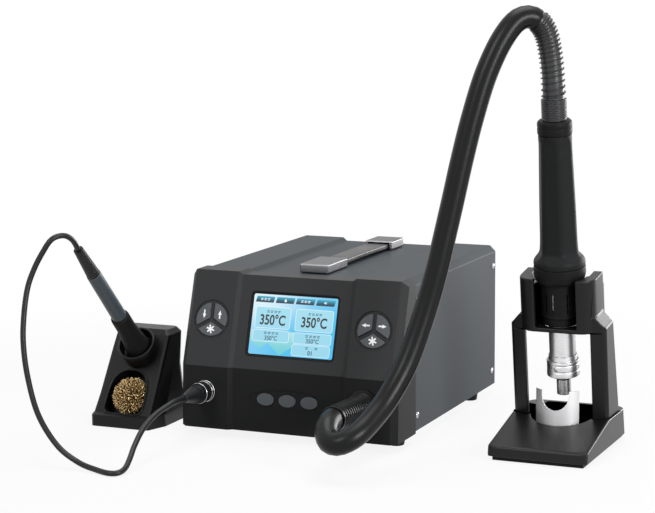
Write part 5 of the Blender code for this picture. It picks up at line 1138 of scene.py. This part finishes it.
def addStand():
    softened("stand_frame", 1.0, standPlastic, 4, angle=24.0, clamp=False)
    hollow = bmesh.new()
    addBox(hollow, unitFrame, standHollow["centre"], standHollow["size"])
    cutter = makePiece("standHollow", hollow, standPlastic)
    softened("stand_base", 1.2, standPlastic, 4, angle=24.0, clamp=False, cutter=cutter)
    bpy.data.objects.remove(cutter, do_unlink=True)
    softened("stand_foot_plate", 0.5, footRubber, 2)
    softened("heat_shield", 0.25, shieldSteel, 2)


addStand()
print("stand")


# Iron's holder: pocket rim, brass wool and funnel, with the iron in it
holder = {
    "x": -149.5, "foot": (0.5, 11.0), "head": (32.3, 60.0), "pocketZ": 27.5, "halfW": 17.8,
    "halfH": 19.7, "corner": 6.0, "bead": 0.8, "margin": 1.5, "longEdge": 9.0,
}
wool = {
    "radius": 17.4, "depth": 12.0, "sink": 4.6, "drop": 1.6, "across": 1.6, "heart": 0.74,
    "heartDepth": 0.70, "curls": 460, "wire": 0.52, "length": 6.2, "rooted": 1.8, "under": 4.4,
}
(footY, footZ), (headY, headZ) = holder["foot"], holder["head"]
pocketY = footY + (holder["pocketZ"] - footZ) / (headZ - footZ) * (headY - footY)
slopeAngle = degrees(atan2(headZ - footZ, headY - footY))
slopeFrame = leaning(holder["x"] * mm, pocketY * mm, holder["pocketZ"] * mm, slopeAngle)


# Long outer edges of the holder's body, off the table and clear of the pocket
def outerEdge(edge):
    first, second = (vertex.co for vertex in edge.verts)
    spot = slopeFrame.inverted() @ ((first + second) / 2)
    reachX, reachY = ((holder[key] + holder["margin"]) * mm for key in ("halfW", "halfH"))
    clear = max(abs(spot.x) / reachX, abs(spot.y) / reachY) > 1.0
    return clear and edge.calc_length() > holder["longEdge"] * mm and min(first.z, second.z) > 1 * mm


def addHolder():
    softened("holder_body", 0.8, holderPlastic, 3, wide=outerEdge, wideWidth=3.4)
    w, h, corner = holder["halfW"], holder["halfH"], holder["corner"]
    side = [
        (0.0, -h), (w - corner, -h), (w - corner * 0.3, -h + corner * 0.3), (w, -h + corner),
        (w * 0.96, h * 0.2), (w * 0.85, h * 0.57), (w * 0.58, h * 0.86), (w * 0.27, h * 0.98),
    ]
    outline = side + [(0.0, h)] + [(-x, y) for x, y in reversed(side[1:])]
    loop = [axisPoint(slopeFrame, 0.15, x, y) for x, y in outline]
    smooth = fineCurve([*loop, loop[0]], 6)
    shape, rings, outward = bmesh.new(), [], facing(slopeFrame)
    count = len(smooth) - 1
    for i in range(count):
        tangent = (smooth[(i + 1) % count] - smooth[i - 1]).normalized()
        across = tangent.cross(outward).normalized()
        rings.append(addRing(shape, smooth[i], across, outward, holder["bead"] * mm, 12))
    joinRings(shape, rings, closed=True)
    settle(makePiece("pocketBead", shape, holderPlastic, 60.0), "station", slot="black_plastic")

    sink = (wool["across"] * mm, -wool["drop"] * mm, -wool["sink"] * mm)
    woolFrame = slopeFrame @ Matrix.Translation(sink)
    flatness = wool["depth"] / wool["radius"]
    # A dark heart under the curls, a painted shade for the gaps between the wires
    heart = bmesh.new()
    size = Matrix.Diagonal((wool["heart"], wool["heart"], wool["heartDepth"] * flatness, 1.0))
    bmesh.ops.create_icosphere(heart, subdivisions=4, radius=wool["radius"] * mm, matrix=woolFrame @ size)
    settle(makePiece("woolHeart", heart, brassHeartPaintedShade, 60.0), "station", slot="brass_wire")
    rnd = random.Random(11)
    spots = []
    for k in range(wool["curls"]):
        up = 1.0 - 1.25 * (k + 0.5) / wool["curls"]
        turn = k * pi * (3 - sqrt(5))
        flat = sqrt(max(0.0, 1 - up * up))
        direction = Vector((flat * cos(turn), flat * sin(turn), up))
        reach = (wool["radius"] - wool["under"]) * rnd.uniform(0.94, 1.0)
        point = Vector((direction.x, direction.y, direction.z * flatness)) * reach
        normal = Vector((direction.x, direction.y, direction.z * 1.3)).normalized()
        spots.append((axisPoint(woolFrame, point.z, point.x, point.y), facing(woolFrame, *normal)))
    hook = []
    for k in range(8):
        share = k / 7
        rise = wool["length"] * share * (1 - 0.22 * share) - wool["rooted"]
        hook.append(Vector((0.6 * sin(1.3 * pi * share), 0.5 * (1 - cos(2.2 * share)), rise)) * mm)
    model = makePiece("woolCurl", sweptShape(hook, wool["wire"] * mm, 5), brassWire, 80.0)
    curls = spreadPieces("brassCurls", spots, model, brassWire, 80.0, **{
        "Least Size": 0.85, "Most Size": 1.1, "Most Spin": fullTurn, "Most Tilt": 0.14, "Seed": 21,
    })
    settle(curls, "station", "brass_wool")

    turned("ironFunnel", "station", "holder_funnel", [
        (20.5, 15.6), (20.0, 16.2), (15.8, 16.2), (15.2, 15.6), (14.4, 15.2), (2.5, 15.0), (2.5, 5.2),
        (8.0, 5.2), (8.0, 6.3), (11.0, 13.4), (20.0, 14.2), (20.5, 14.7),
    ], ironAxis, holderPlastic, 80, soft=0.3)
    turned("ironGrip", "iron", "iron_grip", [
        (58.5, 0.0), (58.5, 7.0), (57.6, 7.6), (56.2, 7.9), (42.0, 7.9), (26.0, 9.2), (18.0, 10.4),
        (12.6, 10.9), (11.0, 9.4), (9.2, 7.5), (8.3, 4.4), (8.3, 0.0),
    ], ironAxis, foamRubber, 64, soft=1.2)
    turned("ironSleeve", "iron", "iron_sleeve", [
        (116.0, 0.0), (116.0, 5.6), (115.4, 5.95), (60.8, 6.32), (58.8, 6.32), (58.8, 0.0),
    ], ironAxis, sleeveBlue, 64, soft=0.3)
    profile = [(bootTip["end"], 0.0)]
    pitch = (bootTip["end"] - bootTip["start"]) / bootTip["ribs"]
    for k in range(bootTip["ribs"]):
        top = bootTip["end"] - pitch * k
        r = bootTip["thin"] + (bootTip["thick"] - bootTip["thin"]) * k / (bootTip["ribs"] - 1)
        groove = r - bootTip["groove"]
        profile += [
            (top, r), (top - 0.52 * pitch, r), (top - 0.66 * pitch, groove), (top - 0.92 * pitch, groove),
        ]
    profile += [(bootTip["start"], bootTip["thick"]), (bootTip["start"], 0.0)]
    turned("ironBoot", "iron", "iron_boot", profile, ironAxis, cableRubber, 48, soft=0.3)


addHolder()
print("holder and iron")


# Floor, world and lamps
studio = {
    "world": 0.16, "floorPale": 0.9, "floorBounce": 0.10, "floorRough": 0.9, "floorGlow": 0.87,
    "near": 0.36, "far": 0.72, "floorSize": 6.0,
    "lamps": [
        # name, place, aims at, size, power
        ("key", (-0.5, -2.0, 1.7), (0.0, 0.0, 0.08), 0.9, 15.0),
        ("overhead", (0.1, 0.2, 1.9), (0.0, 0.0, 0.1), 1.5, 19.0),
        ("rightRim", (1.0, 1.75, 0.28), (0.19, 0.0, 0.1), 1.2, 30.0),
        ("rightSide", (2.0, -1.1, 0.7), (0.0, 0.0, 0.1), 0.9, 27.0),
    ],
}


def showsBackground(wire):
    rays = [wire.node("LightPath", out=f"Is {kind} Ray") for kind in ("Camera", "Glossy", "Transmission")]
    return wire.maths("MAXIMUM", wire.maths("MAXIMUM", rays[0], rays[1]), rays[2])


def addStudio():
    world = bpy.data.worlds.new("studio")
    scene.world = world
    world.use_nodes = True
    wire = Wire(world.node_tree)
    strength = showsBackground(wire) * (1 - studio["world"]) + studio["world"]
    background = world.node_tree.nodes["Background"]
    background.inputs["Color"].default_value = white
    world.node_tree.links.new(strength.socket, background.inputs["Strength"])

    floorPaint, shader, wire, place = newSurface("floorPaint")
    direct = showsBackground(wire)
    tones = [colour4((studio[key],) * 3) for key in ("floorBounce", "floorPale")]
    feed(wire, shader, {
        "Base Color": direct.mix(*tones), "Roughness": studio["floorRough"], "Specular IOR Level": 0.0,
    })
    away = wire.node("VectorMath", {"operation": "LENGTH"}, {0: place}, out="Value")
    faded = away.step(studio["near"], studio["far"]) * (1 - studio["floorGlow"]) + studio["floorGlow"]
    glow = wire.node("Emission", None, {"Color": white, "Strength": 1.0})
    both = wire.node("MixShader", None, {0: direct * faded, 1: Wire(wire.tree, shader.outputs[0]), 2: glow})
    wire.tree.links.new(both.socket, wire.tree.nodes["Material Output"].inputs["Surface"])
    plane = bmesh.new()
    bmesh.ops.create_grid(plane, x_segments=1, y_segments=1, size=studio["floorSize"])
    floor = makePiece("floor", plane, floorPaint, recalc=False)
    for name, place, target, size, power in studio["lamps"]:
        light = bpy.data.lights.new(name, "AREA")
        light.shape = "DISK"
        light.size = size
        light.energy = power
        lamp = bpy.data.objects.new(name, light)
        lamp.location = place
        lamp.rotation_euler = (Vector(target) - Vector(place)).to_track_quat("-Z", "Y").to_euler()
        scene.collection.objects.link(lamp)
    scene.view_settings.view_transform = "Standard"


addStudio()
print("studio")
